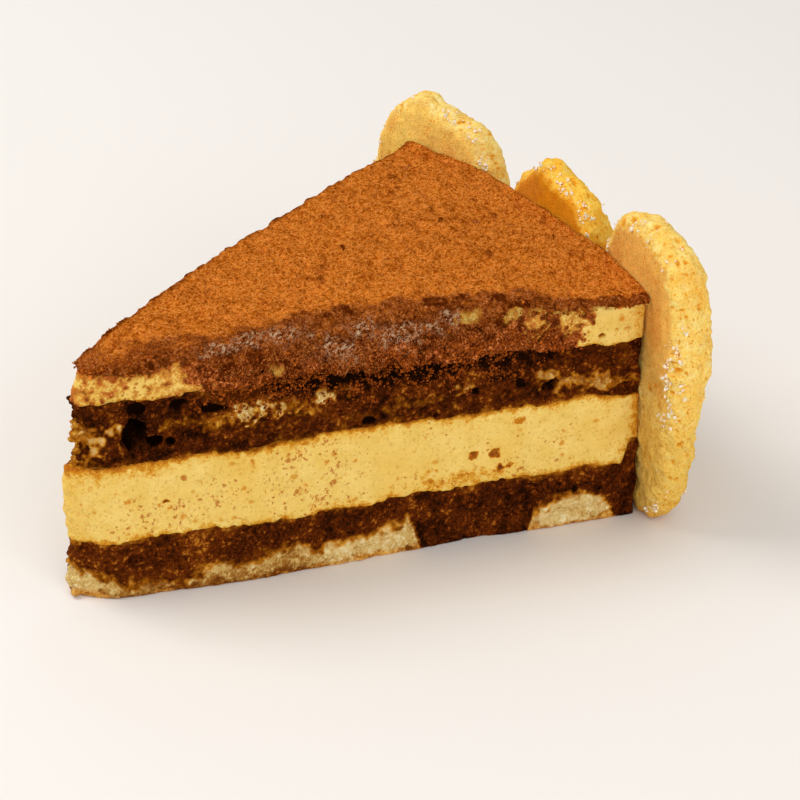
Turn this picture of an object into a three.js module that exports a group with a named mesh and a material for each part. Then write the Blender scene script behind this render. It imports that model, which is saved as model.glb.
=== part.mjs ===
// A slice of tiramisu cake. Two sheets of coffee-soaked sponge and two layers of mascarpone cream make a
// wedge, cocoa powder lies on top and hangs over the cut, and three sponge fingers stand against the
// round outer wall, each with its flat side to the cake.
//
// Millimetres, +Z up. The cake is laid out round its tip: the tip's axis is the Z axis, +X runs down the
// middle of the wedge, and the two cuts leave the tip at half the wedge's angle to either side. At the end
// the whole slice is shifted so that the origin is the middle of its bounding box, at the bottom.

import * as THREE from 'three';
import { mergeVertices } from 'three/addons/utils/BufferGeometryUtils.js';

// ---- Driving dimensions ----

const SIDE_LENGTH = 124; // from the tip's axis to the outer wall, about
const HALF_WEDGE = THREE.MathUtils.degToRad(20); // from the middle of the slice to each cut
const GAP = 0.35; // between pieces that touch

// Mean heights of the layers' upper faces
const BASE_TOP = 13.0;
const CREAM_MIDDLE_TOP = 30.3;
const SPONGE_UPPER_TOP = 45.2;
const CREAM_TOP_TOP = 54.4;
const COCOA_THICKNESS = 1.2; // on top
const COCOA_ON_CUT = 0.6; // where it hangs over a cut

// How those faces leave the level
const BASE_SWELL = 1.3; // the base is thicker at the wall than at the tip
const CREAM_SWELL = 1.4; // the middle cream is thicker at the wall
const TOP_CROWN = 2.1; // the top rises in the middle of the slice
const TIP_DROOP = 1.8; // and droops at the tip

const TIP_HALF_WIDTH = 1.7; // the knife leaves a blunt, torn tip
const TIP_CROWN = 0.6; // how far the middle of the tip stands out from its corners

// The cuts aren't flat: the knife pressed the soft cake out at some places and in at others.
const FRONT_FLARE = 3.6; // the front cut's foot, near the tip, outward
const FRONT_SHOULDER = 6.2; // the front cut's upper edge, further along, inward
const BACK_PINCH = 1.8; // the back cut, on its half towards the tip, inward
const UPPER_RECESS = 0.4; // the upper sponge on both cuts, inward

const FRONT = -1; // the cut that faces -Y
const BACK = 1; // the cut that faces +Y

// The soaked base sponge turns up against the outer wall in a thin lip.
const LIP_THICKNESS = 2.6;
const LIP_SLOPE = 0.7; // how far the lip's inner side leans
const LIP_HEIGHT = 6.4;
const LIP_CLEARANCE = 0.4; // level gap between the lip's leaning side and the cream

// Each finger stands against its own flat stretch of the outer wall. `facing` is the direction of its domed
// side, `reach` is the distance from the tip's axis to its flat side, `from` and `to` are its edges along the
// wall, and `height` is its top. A nub is a small peak left by the piping, `at` that place along the wall.
const degrees = THREE.MathUtils.degToRad;
const FINGERS = [
  {
    name: 'ladyfinger_front', facing: degrees(-13), reach: 123, from: -28.6, to: 8.6, height: 68.4,
    thickness: 12.9, taper: 0.13, seed: 1.3, nubs: [],
  },
  {
    name: 'ladyfinger_middle', facing: degrees(-1), reach: 121.5, from: -15.8, to: 16.8, height: 63.4,
    thickness: 12.2, taper: 0.1, seed: 2.9, nubs: [{ at: 4.5, height: 2.6, width: 2.6 }],
  },
  {
    name: 'ladyfinger_back', facing: degrees(15), reach: 123.4, from: -13.4, to: 23.6, height: 64.4,
    thickness: 12.6, taper: 0.12, seed: 4.6,
    nubs: [{ at: 9.5, height: 2.4, width: 3.4 }, { at: 20, height: 2.4, width: 3.0 }],
  },
];

// Big bubbles that the knife opened in the upper sponge: distance from the tip, height, radius, depth.
const OPEN_BUBBLES = [
  { along: 14.3, height: 36.2, radius: 4.2, depth: 3.2 },
  { along: 22.5, height: 34.0, radius: 3.2, depth: 1.8 },
  { along: 70.0, height: 43.0, radius: 5.5, depth: 1.8 },
];

const COLOURS = {
  spongeBase: 0x6b3a16,
  creamMiddle: 0xe9c872,
  spongeUpper: 0x4c220a,
  creamTop: 0xe2bf6c,
  cocoa: 0x9c5a26,
  finger: 0xe6b45c,
};

// ---- Small helpers ----

const { lerp, clamp, smoothstep } = THREE.MathUtils;

// 0 up to `start`, 1 from `end` on.
const rise = (value, start, end) => smoothstep(value, start, end);

// 1 from `full` to `fade`, 0 before `start` and after `end`, with soft ends.
const plateau = (value, start, full, fade, end) => rise(value, start, full) * (1 - rise(value, fade, end));

// Smooth unevenness between about -1 and 1 over a plane; `seed` gives another pattern.
function ripple(x, y, wavelength, seed) {
  const k = (2 * Math.PI) / wavelength;
  return (
    0.5 * Math.sin(k * x + 1.7 * seed) * Math.cos(0.8 * k * y + 2.9 * seed)
    + 0.3 * Math.sin(1.9 * k * y - 0.7 * k * x + 4.1 * seed)
    + 0.2 * Math.cos(2.7 * k * x + 1.3 * k * y + 0.6 * seed)
  );
}

// Moves every vertex of a stock geometry through `place`, and joins the vertices that then coincide.
function reshape(geometry, place) {
  geometry.deleteAttribute('normal');
  geometry.deleteAttribute('uv');
  const merged = mergeVertices(geometry);
  const positions = merged.getAttribute('position');
  const point = new THREE.Vector3();
  for (let i = 0; i < positions.count; i += 1) {
    point.fromBufferAttribute(positions, i);
    const moved = place(point);
    positions.setXYZ(i, moved.x, moved.y, moved.z);
  }
  merged.computeVertexNormals();
  return merged;
}

function piece(name, geometry, colour, roughness) {
  const material = new THREE.MeshStandardMaterial({ color: colour, roughness, metalness: 0 });
  const mesh = new THREE.Mesh(geometry, material);
  mesh.name = name;
  return mesh;
}

// ---- The wedge's plan ----

const COLUMNS = 7; // across the slice

// Angle of a line down the slice, for `across` from 0 on the front cut to 1 on the back cut.
const columnAngle = (across) => lerp(-HALF_WEDGE, HALF_WEDGE, across);

// Distance from the tip's axis to the outer wall, which is flat behind each finger.
const wallDistance = (angle) => (
  Math.min(...FINGERS.map(({ reach, facing }) => reach / Math.cos(angle - facing)))
);

// How far the cut stands out from its straight line, at a distance along it and a height.
function cutBulge(side, along, height) {
  if (side === FRONT) {
    const flare = FRONT_FLARE * plateau(along, -1, 10, 36, 96) * (1 - rise(height, -6, 46));
    const shoulder = FRONT_SHOULDER * plateau(along, 22, 60, 84, 111) * rise(height, 44, 60);
    return flare - shoulder;
  }
  return -BACK_PINCH * plateau(along, 2, 12, 45, 130);
}

// Distance from the tip along the nearer cut.
const alongCut = (flat) => flat.x * Math.cos(HALF_WEDGE) + Math.abs(flat.y) * Math.sin(HALF_WEDGE);

// Unmoved plan position of a point of the wedge: `down` runs from 0 at the tip to 1 at the wall.
function planPoint(down, across) {
  const angle = columnAngle(across);
  const reach = wallDistance(angle);
  const sideways = angle / HALF_WEDGE;
  const tip = new THREE.Vector2(-TIP_CROWN * (1 - sideways ** 2), TIP_HALF_WIDTH * sideways);
  const wall = new THREE.Vector2(reach * Math.cos(angle), reach * Math.sin(angle));
  return { flat: tip.lerp(wall, down), sideways, reach };
}

// Moves a plan position by the cut's bulge and the layer's own torn relief, which both fade towards the
// middle of the slice, and pushes the tip in by `tipSet`.
function wedgePoint(down, across, height, relief, tipSet) {
  const { flat, sideways } = planPoint(down, across);
  const side = sideways < 0 ? FRONT : BACK;
  const along = alongCut(flat);
  const share = (1 - rise(down, 0.985, 1)) * Math.abs(sideways) ** 3;
  const out = (cutBulge(side, along, height) + relief(side, along, height)) * share;
  const tipFade = (1 - down) ** 14;
  return new THREE.Vector3(
    flat.x - out * Math.sin(HALF_WEDGE) + tipSet(height, sideways) * tipFade,
    flat.y + side * out * Math.cos(HALF_WEDGE),
    height,
  );
}

// ---- The layers' faces ----

// Height of the base's lip above the base, and none away from the wall. `inset` shifts its inner side.
function lipRise(fromWall, y, inset) {
  const inner = rise(LIP_THICKNESS + LIP_SLOPE + inset - fromWall, 0, LIP_SLOPE);
  const uneven = 1 + 0.18 * ripple(y, 0, 30, 3.1);
  return LIP_HEIGHT * uneven * inner;
}

// Waves in a layer's face. They run mostly across the slice, and die out at the tip, where the layers end
// one behind the other.
const waves = (x, y, height, length, seed) => height * ripple(x, 0.3 * y, length, seed) * rise(x, 3, 18);

const baseTop = (x, y) => BASE_TOP + BASE_SWELL * rise(x, 10, 110) + waves(x, y, 0.7, 46, 1.0);
const creamMiddleTop = (x, y) => (
  CREAM_MIDDLE_TOP + CREAM_SWELL * plateau(x, 20, 60, 110, 160) + waves(x, y, 0.8, 40, 2.3)
);
const spongeUpperTop = (x, y) => SPONGE_UPPER_TOP + waves(x, y, 0.8, 34, 3.7);
const creamTopTop = (x, y) => {
  const level = CREAM_TOP_TOP + TOP_CROWN * plateau(x, 2, 55, 70, 122) - TIP_DROOP * (1 - rise(x, 2, 20));
  return level + 0.35 * ripple(x, y, 28, 5.2);
};

// ---- Layers ----

const LENGTH_STEPS = 36;
const LIP_STEPS = 3; // the last steps before the wall, kept for the lip
const LIP_APPROACH = 6; // distance from the wall at which they begin

// Fraction of the way down the slice for a step: even steps, then the lip's foot, its inner top and the wall.
function stepDown(step, inset) {
  const lastEven = LENGTH_STEPS - LIP_STEPS;
  const lipStarts = [LIP_THICKNESS + LIP_SLOPE + inset, LIP_THICKNESS + inset, 0];
  if (step <= lastEven) return (step / lastEven) * (1 - LIP_APPROACH / SIDE_LENGTH);
  return 1 - lipStarts[step - lastEven - 1] / SIDE_LENGTH;
}

// A layer between two height functions of the plan position. `inset` keeps its lip steps off the base's.
function layerGeometry({ bottom, top, steps, inset, relief, tipSet }) {
  const box = new THREE.BoxGeometry(1, 1, 1, LENGTH_STEPS, COLUMNS, steps);
  return reshape(box, (p) => {
    const down = stepDown(Math.round((p.x + 0.5) * LENGTH_STEPS), inset);
    const across = p.y + 0.5;
    const { flat, reach } = planPoint(down, across);
    const fromWall = (1 - down) * reach;
    const low = bottom(flat.x, flat.y, fromWall);
    const high = top(flat.x, flat.y, fromWall);
    return wedgePoint(down, across, lerp(low, high, p.z + 0.5), relief, tipSet);
  });
}

// Torn, crumbly relief of a cut through sponge.
function spongeRelief(depth, seed) {
  return (side, along, height) => {
    let out = depth * ripple(along, height * 1.6, 15, seed + side);
    if (side === FRONT) {
      OPEN_BUBBLES.forEach((bubble) => {
        const away = Math.hypot(along - bubble.along, height - bubble.height) / bubble.radius;
        out -= bubble.depth * (1 - rise(away, 0.2, 1));
      });
    }
    return out;
  };
}

// Smooth relief of a cut through cream.
const creamRelief = (depth, seed) => (side, along, height) => depth * ripple(along, height, 42, seed + side);

// A sponge layer's torn tip: `set` in on average, and `depth` further in or out.
const tornTip = (set, depth, seed) => (height, sideways) => (
  set + depth * ripple(height, 6 * sideways, 8, seed)
);

function spongeBase() {
  return piece('sponge_base', layerGeometry({
    bottom: () => 0,
    top: (x, y, fromWall) => baseTop(x, y) + lipRise(fromWall, y, 0),
    steps: 3,
    inset: 0,
    relief: (side, along, height) => rise(height, 0, 4) * spongeRelief(0.7, 1.4)(side, along, height),
    tipSet: tornTip(1.0, 0.8, 0.4),
  }), COLOURS.spongeBase, 0.95);
}

function creamMiddle() {
  return piece('cream_middle', layerGeometry({
    bottom: (x, y, fromWall) => baseTop(x, y) + lipRise(fromWall, y, LIP_CLEARANCE) + GAP,
    top: creamMiddleTop,
    steps: 4,
    inset: LIP_CLEARANCE,
    relief: creamRelief(0.35, 2.2),
    tipSet: (height) => 0.9 - 0.3 * Math.cos((height - 22) / 4),
  }), COLOURS.creamMiddle, 0.55);
}

function spongeUpper() {
  return piece('sponge_upper', layerGeometry({
    bottom: (x, y) => creamMiddleTop(x, y) + GAP,
    top: spongeUpperTop,
    steps: 3,
    inset: 0,
    relief: (side, along, height) => spongeRelief(0.9, 3.3)(side, along, height) - UPPER_RECESS,
    tipSet: tornTip(3.6, 0.9, 1.8),
  }), COLOURS.spongeUpper, 0.95);
}

// The cocoa follows these two as well. The tip of the top cream leans back from its foot up.
const creamTopRelief = creamRelief(0.4, 4.4);
const creamTopTipSet = (height) => 2.4 + 3.2 * rise(height, 44, 56);

function creamTop() {
  return piece('cream_top', layerGeometry({
    bottom: (x, y) => spongeUpperTop(x, y) + GAP,
    top: creamTopTop,
    steps: 4,
    inset: 0,
    relief: creamTopRelief,
    tipSet: creamTopTipSet,
  }), COLOURS.creamTop, 0.6);
}

// ---- Cocoa ----

// Across the slice the cocoa skin runs up the front cut, over the top and down the back cut.
const HANGING_COLUMNS = 3; // on each cut
const COCOA_COLUMNS = COLUMNS + 2 * HANGING_COLUMNS;

// How far the skin hangs down a cut: cocoa was dragged over the middle of the front cut.
const HANG_FRONT = 1.3;
const HANG_BACK = 1.6;
const HANG_DRAGGED = 6.4;

function cocoaHang(side, along) {
  const fromTip = rise(along, 2, 14);
  if (side === BACK) return (HANG_BACK + 0.7 * ripple(along, 0, 24, 2.2)) * fromTip;
  const dragged = HANG_DRAGGED * plateau(along, 24, 38, 84, 102);
  return (HANG_FRONT + dragged + 0.8 * ripple(along, 3, 17, 0.8) * rise(dragged, 0, 3)) * fromTip;
}

function cocoaPowder() {
  const box = new THREE.BoxGeometry(1, 1, 1, LENGTH_STEPS, COCOA_COLUMNS, 1);
  return piece('cocoa_powder', reshape(box, (p) => {
    const down = stepDown(Math.round((p.x + 0.5) * LENGTH_STEPS), 0);
    const column = Math.round((p.y + 0.5) * COCOA_COLUMNS) - HANGING_COLUMNS;
    const across = clamp(column / COLUMNS, 0, 1);
    const hanging = Math.max(-column, column - COLUMNS, 0) / HANGING_COLUMNS;
    const side = column < COLUMNS / 2 ? FRONT : BACK;
    const { flat } = planPoint(down, across);
    const along = alongCut(flat);
    const height = creamTopTop(flat.x, flat.y) - hanging * cocoaHang(side, along);
    const at = wedgePoint(down, across, height, creamTopRelief, creamTopTipSet);
    const clumps = 1 + 0.2 * ripple(flat.x, flat.y, 13, 6.1);
    const thinned = 0.5 + 0.5 * rise(flat.x, 0, 12);
    const onTop = GAP + (p.z > 0 ? COCOA_THICKNESS * clumps * thinned : 0);
    const onCut = GAP + (p.z > 0 ? COCOA_ON_CUT : 0);
    const outward = column <= 0 || column >= COLUMNS ? onCut : 0;
    return new THREE.Vector3(
      at.x - outward * Math.sin(HALF_WEDGE),
      at.y + side * outward * Math.cos(HALF_WEDGE),
      at.z + onTop * (1 - rise(hanging, 0, 0.6)),
    );
  }), COLOURS.cocoa, 1.0);
}

// ---- Sponge fingers ----

const FINGER_AROUND = 30;
const FINGER_RINGS = 12;
const DOME_RINGS = 7; // of the rings, those on the domed side
const RIM_RINGS = 3; // and those on the rounded rim; the rest lie on the flat side
const RIM_HEIGHT = 3.6; // level of the widest outline above the flat side
const FLAT_SHARE = 0.94; // of the widest outline
const OUTLINE_POWER = 2.9; // 2 is an ellipse, more is squarer
const DOME_POWER = 2.5;
const FOOT_THINNING = 0.1; // share of its thickness that a finger loses at its foot
const DOME_UNEVENNESS = 0.35;

const signedPower = (value, power) => Math.sign(value) * Math.abs(value) ** power;

// Section of a finger from its crown to the middle of its flat side: how far out towards the outline, and
// how high above the flat side as a share of the dome's or the rim's height.
function fingerSection(ring) {
  const round = (share, power) => ({
    out: Math.sin((share * Math.PI) / 2) ** (2 / power),
    level: Math.cos((share * Math.PI) / 2) ** (2 / power),
  });
  if (ring <= DOME_RINGS) {
    const { out, level } = round(ring / DOME_RINGS, DOME_POWER);
    return { out, dome: level, rim: 1 };
  }
  if (ring <= DOME_RINGS + RIM_RINGS) {
    const { out, level } = round((ring - DOME_RINGS) / RIM_RINGS, 2);
    return { out: 1 - (1 - FLAT_SHARE) * (1 - Math.sqrt(1 - out ** 2)), dome: 0, rim: 1 - out };
  }
  const share = (FINGER_RINGS - ring) / (FINGER_RINGS - DOME_RINGS - RIM_RINGS);
  return { out: FLAT_SHARE * share, dome: 0, rim: 0 };
}

// A finger in its own frame: flat side on x = 0, dome towards +x, standing on z = 0.
function fingerGeometry(finger) {
  const sphere = new THREE.SphereGeometry(1, FINGER_AROUND, FINGER_RINGS);
  sphere.rotateZ(-Math.PI / 2); // one pole becomes the dome's crown, the other the middle of the flat side
  const halfWidth = (finger.to - finger.from) / 2;
  const middle = (finger.to + finger.from) / 2;
  return reshape(sphere, (p) => {
    const ring = Math.round((Math.acos(clamp(p.x, -1, 1)) / Math.PI) * FINGER_RINGS);
    const around = Math.atan2(p.z, p.y);
    const { out, dome, rim } = fingerSection(ring);
    const up = out * signedPower(Math.sin(around), 2 / OUTLINE_POWER);
    const upShare = (1 + up) / 2;
    const width = halfWidth * (1 - finger.taper * (1 - rise(upShare, 0.1, 0.75)));
    const y = middle + width * out * signedPower(Math.cos(around), 2 / OUTLINE_POWER);
    let z = finger.height * upShare;
    finger.nubs.forEach((nub) => {
      z += nub.height * Math.exp(-(((y - nub.at) / nub.width) ** 2)) * rise(upShare, 0.88, 1);
    });
    const thickness = finger.thickness * (1 - FOOT_THINNING * (1 - rise(upShare, 0.05, 0.6)));
    const uneven = DOME_UNEVENNESS * ripple(z, y, 22, finger.seed);
    return new THREE.Vector3(RIM_HEIGHT * rim + (thickness - RIM_HEIGHT + uneven) * dome, y, z);
  });
}

function ladyfinger(finger) {
  const mesh = piece(finger.name, fingerGeometry(finger), COLOURS.finger, 0.85);
  mesh.position.x = finger.reach + GAP;
  const stand = new THREE.Group();
  stand.rotation.z = finger.facing;
  stand.add(mesh);
  return stand;
}

// ---- The slice ----

const slice = new THREE.Group();
slice.name = 'tiramisu_slice';
const cake = new THREE.Group();
cake.add(spongeBase(), creamMiddle(), spongeUpper(), creamTop(), cocoaPowder());
cake.add(...FINGERS.map(ladyfinger));
slice.add(cake);

slice.updateMatrixWorld(true);
const extent = new THREE.Box3().setFromObject(cake, true);
const centre = extent.getCenter(new THREE.Vector3());
cake.position.set(-centre.x, -centre.y, -extent.min.z);
slice.updateMatrixWorld(true);

export default slice;
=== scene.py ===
"""A slice of tiramisu cake, dressed for rendering.

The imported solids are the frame. Every node is replaced by a finely modelled piece of the same form, with
torn crumb, bubbles and powder as real relief, and loose cocoa and sugar lie on top as small meshes.

Lengths are millimetres, in the cake's own layout: the tip's axis is the Z axis, +X runs down the middle of
the wedge and the two cuts leave the tip at half the wedge's angle. `placed` turns them into the frame's
metres. A place on the front cut is a distance along it from the tip and a height.
"""

import math
from types import SimpleNamespace

import bpy
import numpy as np
from mathutils import Matrix, Vector


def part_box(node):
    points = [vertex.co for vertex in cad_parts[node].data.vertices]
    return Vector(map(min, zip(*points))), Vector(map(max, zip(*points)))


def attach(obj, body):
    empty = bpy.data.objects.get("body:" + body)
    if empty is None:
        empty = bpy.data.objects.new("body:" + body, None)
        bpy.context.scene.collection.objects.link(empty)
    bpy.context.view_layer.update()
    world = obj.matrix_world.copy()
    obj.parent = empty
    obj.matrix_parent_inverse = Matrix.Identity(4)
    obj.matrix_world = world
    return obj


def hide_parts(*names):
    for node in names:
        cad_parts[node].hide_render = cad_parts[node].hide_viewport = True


MM = 0.001

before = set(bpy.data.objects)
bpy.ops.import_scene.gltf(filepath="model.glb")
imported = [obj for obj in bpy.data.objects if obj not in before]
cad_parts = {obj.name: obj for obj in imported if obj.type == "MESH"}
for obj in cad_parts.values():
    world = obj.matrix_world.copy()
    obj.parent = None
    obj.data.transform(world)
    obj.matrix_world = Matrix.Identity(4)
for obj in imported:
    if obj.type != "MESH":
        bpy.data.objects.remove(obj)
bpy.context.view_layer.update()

# ---- Small maths ----


def mix(start, end, share):
    return start + (end - start) * share


def rise(value, start, end):
    """0 up to `start`, 1 from `end` on, smooth between."""
    t = np.clip((value - start) / (end - start), 0, 1)
    return t * t * (3 - 2 * t)


def fall(value, start, end):
    """1 up to `start`, 0 from `end` on, smooth between."""
    return 1 - rise(value, start, end)


def plateau(value, start, full, fade, end):
    """1 from `full` to `fade`, 0 before `start` and after `end`."""
    return rise(value, start, full) * fall(value, fade, end)


def hump(value, middle, width):
    """1 at `middle`, and smoothly less on both sides of it."""
    return np.exp(-(((value - middle) / width) ** 2))


def most(first, *others):
    """The largest of the values, point by point."""
    for other in others:
        first = np.maximum(first, other)
    return first


def ripple(x, y, wavelength, seed):
    """The solids' smooth unevenness, between about -1 and 1."""
    k = 2 * math.pi / wavelength
    return (
        0.5 * np.sin(k * x + 1.7 * seed) * np.cos(0.8 * k * y + 2.9 * seed)
        + 0.3 * np.sin(1.9 * k * y - 0.7 * k * x + 4.1 * seed)
        + 0.2 * np.cos(2.7 * k * x + 1.3 * k * y + 0.6 * seed)
    )


def hashed(cell, seed):
    """A random number between 0 and 1 for each whole-number cell, the same on every run."""
    parts = cell.astype(np.int64).astype(np.uint32)
    salt = np.uint32((seed * 2654435761 + 974711) % 2**32)
    value = parts[..., 0] * np.uint32(374761393) + parts[..., 1] * np.uint32(668265263)
    value = value + parts[..., 2] * np.uint32(3266489917) + salt
    value = (value ^ (value >> np.uint32(15))) * np.uint32(2246822519)
    value = (value ^ (value >> np.uint32(13))) * np.uint32(3266489917)
    value = value ^ (value >> np.uint32(16))
    return value / 2.0**32


def cells(*steps):
    """Every cell that lies these steps away in the three directions."""
    return np.array([(i, j, k) for i in steps for j in steps for k in steps])


CORNERS = cells(0, 1)
NEIGHBOURS = cells(-1, 0, 1)
NOISE_GAIN = 1.6  # brings the noise out to about -1 and 1


def noise(points, size, seed):
    """Soft random unevenness between about -1 and 1, with lumps of `size`."""
    scaled = points * (1 / size)
    cell = np.floor(scaled)
    inside = scaled - cell
    inside = inside * inside * (3 - 2 * inside)
    total = 0
    for corner in CORNERS:
        share = np.prod(np.where(corner == 1, inside, 1 - inside), axis=-1)
        total = total + share * (2 * hashed(cell + corner, seed) - 1)
    return NOISE_GAIN * total


def rough(points, seed, *lumps, step=1):
    """Noises on top of each other: `lumps` are heights and sizes, and each seed is `step` after the last."""
    numbered = enumerate(lumps)
    return sum(height * noise(points, size, seed + step * number) for number, (height, size) in numbered)


def bent(points, amount, size, seed):
    """The points moved at random, so that what is drawn at them loses its roundness."""
    return points + amount * np.stack([noise(points, size, seed + axis) for axis in range(3)], axis=-1)


def balls(points, pitch, small, large, share, seed):
    """How deep each point lies in random balls, one in each of `share` of the cells, between two radii."""
    home = np.floor(points / pitch)
    deepest = np.zeros(len(points))
    for offset in NEIGHBOURS:
        cell = home + offset
        jitter = np.stack([hashed(cell, seed + 1 + axis) for axis in range(3)], axis=-1)
        centre = (cell + 0.1 + 0.8 * jitter) * pitch
        radius = mix(small, large, hashed(cell, seed + 5) ** 2)
        there = hashed(cell, seed + 6) < share
        away = np.linalg.norm(points - centre, axis=-1) / radius
        bowl = np.sqrt(np.clip(1 - away**2, 0, 1)) * radius
        deepest = most(deepest, np.where(there, bowl, 0))
    return deepest


# ---- The slice's form, as in the solids ----

SIDE_LENGTH = 124.0
HALF_WEDGE = math.radians(20)
SIN_HALF = math.sin(HALF_WEDGE)
COS_HALF = math.cos(HALF_WEDGE)
GAP = 0.35

BASE_TOP = 13.0
CREAM_MIDDLE_TOP = 30.3
SPONGE_UPPER_TOP = 45.2
CREAM_TOP_TOP = 54.4
COCOA_THICKNESS = 1.2
COCOA_ON_CUT = 0.6

BASE_SWELL = 1.3
CREAM_SWELL = 1.4
TOP_CROWN = 2.1
TIP_DROOP = 1.8

TIP_HALF_WIDTH = 1.7
TIP_CROWN = 0.6

FRONT_FLARE = 3.6
FRONT_SHOULDER = 6.2
BACK_PINCH = 1.8
UPPER_RECESS = 0.4

LIP_THICKNESS = 2.6
LIP_SLOPE = 0.7
LIP_HEIGHT = 6.4
LIP_TORN = 1.6  # its inner side is torn over this much more width than in the solids

WALL_LEAN = 1.7  # the outer wall and the fingers stand this much further out at the foot
LEAN_ENDS = 45.0  # and upright from this height

HANG_FRONT = 1.3
HANG_BACK = 1.6
HANG_DRAGGED = 6.4

FRONT = -1
BACK = 1

# facing, reach from the tip's axis to the flat side, edges along the wall, height, thickness, taper, seed,
# and nubs: where along the wall, height, width
FINGERS = {
    "front": (math.radians(-13), 123.0, -28.6, 8.6, 68.4, 12.9, 0.13, 1.3, []),
    "middle": (math.radians(-1), 121.5, -15.8, 16.8, 63.4, 12.2, 0.1, 2.9, [(4.5, 2.6, 2.6)]),
    "back": (math.radians(15), 123.4, -13.4, 23.6, 64.4, 12.6, 0.12, 4.6, [(9.5, 2.4, 3.4), (20, 2.4, 3.0)]),
}


def wall_distance(angle):
    """From the tip's axis to the outer wall, which is flat behind each finger."""
    return np.min([reach / np.cos(angle - facing) for facing, reach, *_ in FINGERS.values()], axis=0)


def frame_tip():
    """Where the tip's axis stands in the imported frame: the outer wall is the same in both layouts."""
    low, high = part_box("cream_top")
    angles = np.linspace(-HALF_WEDGE, HALF_WEDGE, 401)
    reach = wall_distance(angles)
    wall_y = reach[[0, -1]] * np.sin(angles[[0, -1]])
    x = high.x - MM * np.max(reach * np.cos(angles))
    y = (low.y + high.y) / 2 - MM * np.mean(wall_y)
    return np.array([x, y, 0.0])


TIP = frame_tip()


def placed(points):
    return points * MM + TIP


def along_cut(x, y):
    return x * COS_HALF + np.abs(y) * SIN_HALF


def cut_bulge(side, along, height):
    flare = FRONT_FLARE * plateau(along, -1, 10, 36, 96) * fall(height, -6, 46)
    shoulder = FRONT_SHOULDER * plateau(along, 22, 60, 84, 111) * rise(height, 44, 60)
    pinch = BACK_PINCH * plateau(along, 2, 12, 45, 130)
    return np.where(side == FRONT, flare - shoulder, -pinch)


def plan_point(down, across):
    """An unmoved place in plan, how far sideways it is, from -1 to 1, and the wall's distance from the tip.

    `down` is 0 at the tip and 1 at the wall, and `across` is 0 on the front cut and 1 on the back cut.
    """
    angle = mix(-HALF_WEDGE, HALF_WEDGE, across)
    reach = wall_distance(angle)
    sideways = angle / HALF_WEDGE
    x = mix(-TIP_CROWN * (1 - sideways**2), reach * np.cos(angle), down)
    y = mix(TIP_HALF_WIDTH * sideways, reach * np.sin(angle), down)
    return x, y, sideways, reach


def lean(height):
    return WALL_LEAN * fall(height, 0, LEAN_ENDS)


def wedge_point(down, across, height, relief, tip_set):
    """The plan position moved by the cut's bulge, the layer's broad relief and the tip's set."""
    x, y, sideways, _ = plan_point(down, across)
    side = np.where(sideways < 0, FRONT, BACK)
    along = along_cut(x, y)
    share = fall(down, 0.985, 1) * np.abs(sideways) ** 3
    out = (cut_bulge(side, along, height) + relief(side, along, height)) * share
    set_in = tip_set(height, sideways) * (1 - down) ** 14 + lean(height) * down**12
    return np.stack([x - out * SIN_HALF + set_in, y + side * out * COS_HALF, height], axis=-1)


def lip_rise(from_wall, y):
    inner = rise(LIP_THICKNESS + LIP_SLOPE - from_wall, -0.5 * LIP_TORN, LIP_SLOPE + 0.5 * LIP_TORN)
    return LIP_HEIGHT * (1 + 0.18 * ripple(y, 0, 30, 3.1)) * inner


def waves(x, y, height, length, seed):
    return height * ripple(x, 0.3 * y, length, seed) * rise(x, 3, 18)


def floor_level(x, y, from_wall):
    return 0 * x


def base_top(x, y, from_wall):
    level = BASE_TOP + BASE_SWELL * rise(x, 10, 110) + waves(x, y, 0.7, 46, 1.0)
    return level + lip_rise(from_wall, y)


def cream_middle_top(x, y, from_wall):
    return CREAM_MIDDLE_TOP + CREAM_SWELL * plateau(x, 20, 60, 110, 160) + waves(x, y, 0.8, 40, 2.3)


def sponge_upper_top(x, y, from_wall):
    return SPONGE_UPPER_TOP + waves(x, y, 0.8, 34, 3.7)


def cream_top_top(x, y, from_wall=0):
    level = CREAM_TOP_TOP + TOP_CROWN * plateau(x, 2, 55, 70, 122) - TIP_DROOP * fall(x, 2, 20)
    return level + 0.35 * ripple(x, y, 28, 5.2)


def sponge_relief(depth, seed):
    return lambda side, along, height: depth * ripple(along, height * 1.6, 15, seed + side)


def cream_relief(depth, seed):
    return lambda side, along, height: depth * ripple(along, height, 42, seed + side)


def torn_tip(set_in, depth, seed):
    return lambda height, sideways: set_in + depth * ripple(height, 6 * sideways, 8, seed)


def base_relief(side, along, height):
    return rise(height, 0, 4) * sponge_relief(0.7, 1.4)(side, along, height)


def upper_relief(side, along, height):
    return sponge_relief(0.9, 3.3)(side, along, height) - UPPER_RECESS


cream_top_relief = cream_relief(0.4, 4.4)


def cream_middle_tip(height, sideways):
    return 0.9 - 0.3 * np.cos((height - 22) / 4)


def cream_top_tip(height, sideways):
    return 2.9 + 2.7 * rise(height, 44, 56)


def cocoa_hang(side, along):
    """How far the cocoa skin hangs down a cut."""
    from_tip = rise(along, 2, 14)
    back = HANG_BACK + 0.7 * ripple(along, 0, 24, 2.2)
    dragged = HANG_DRAGGED * plateau(along, 24, 38, 84, 102)
    front = HANG_FRONT + dragged + 0.8 * ripple(along, 3, 17, 0.8) * rise(dragged, 0, 3)
    return np.where(side == FRONT, front, back) * from_tip


# ---- Meshes ----


def grid_faces(rows, columns, closed):
    """Quads of a grid of points, row after row; `closed` joins each row's last point to its first."""
    row = np.arange(rows - 1)[:, None] * columns
    column = np.arange(columns if closed else columns - 1)[None, :]
    after = (column + 1) % columns
    quads = np.stack([row + column, row + after, row + columns + after, row + columns + column], axis=-1)
    return quads.reshape(-1, 4)


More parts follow.
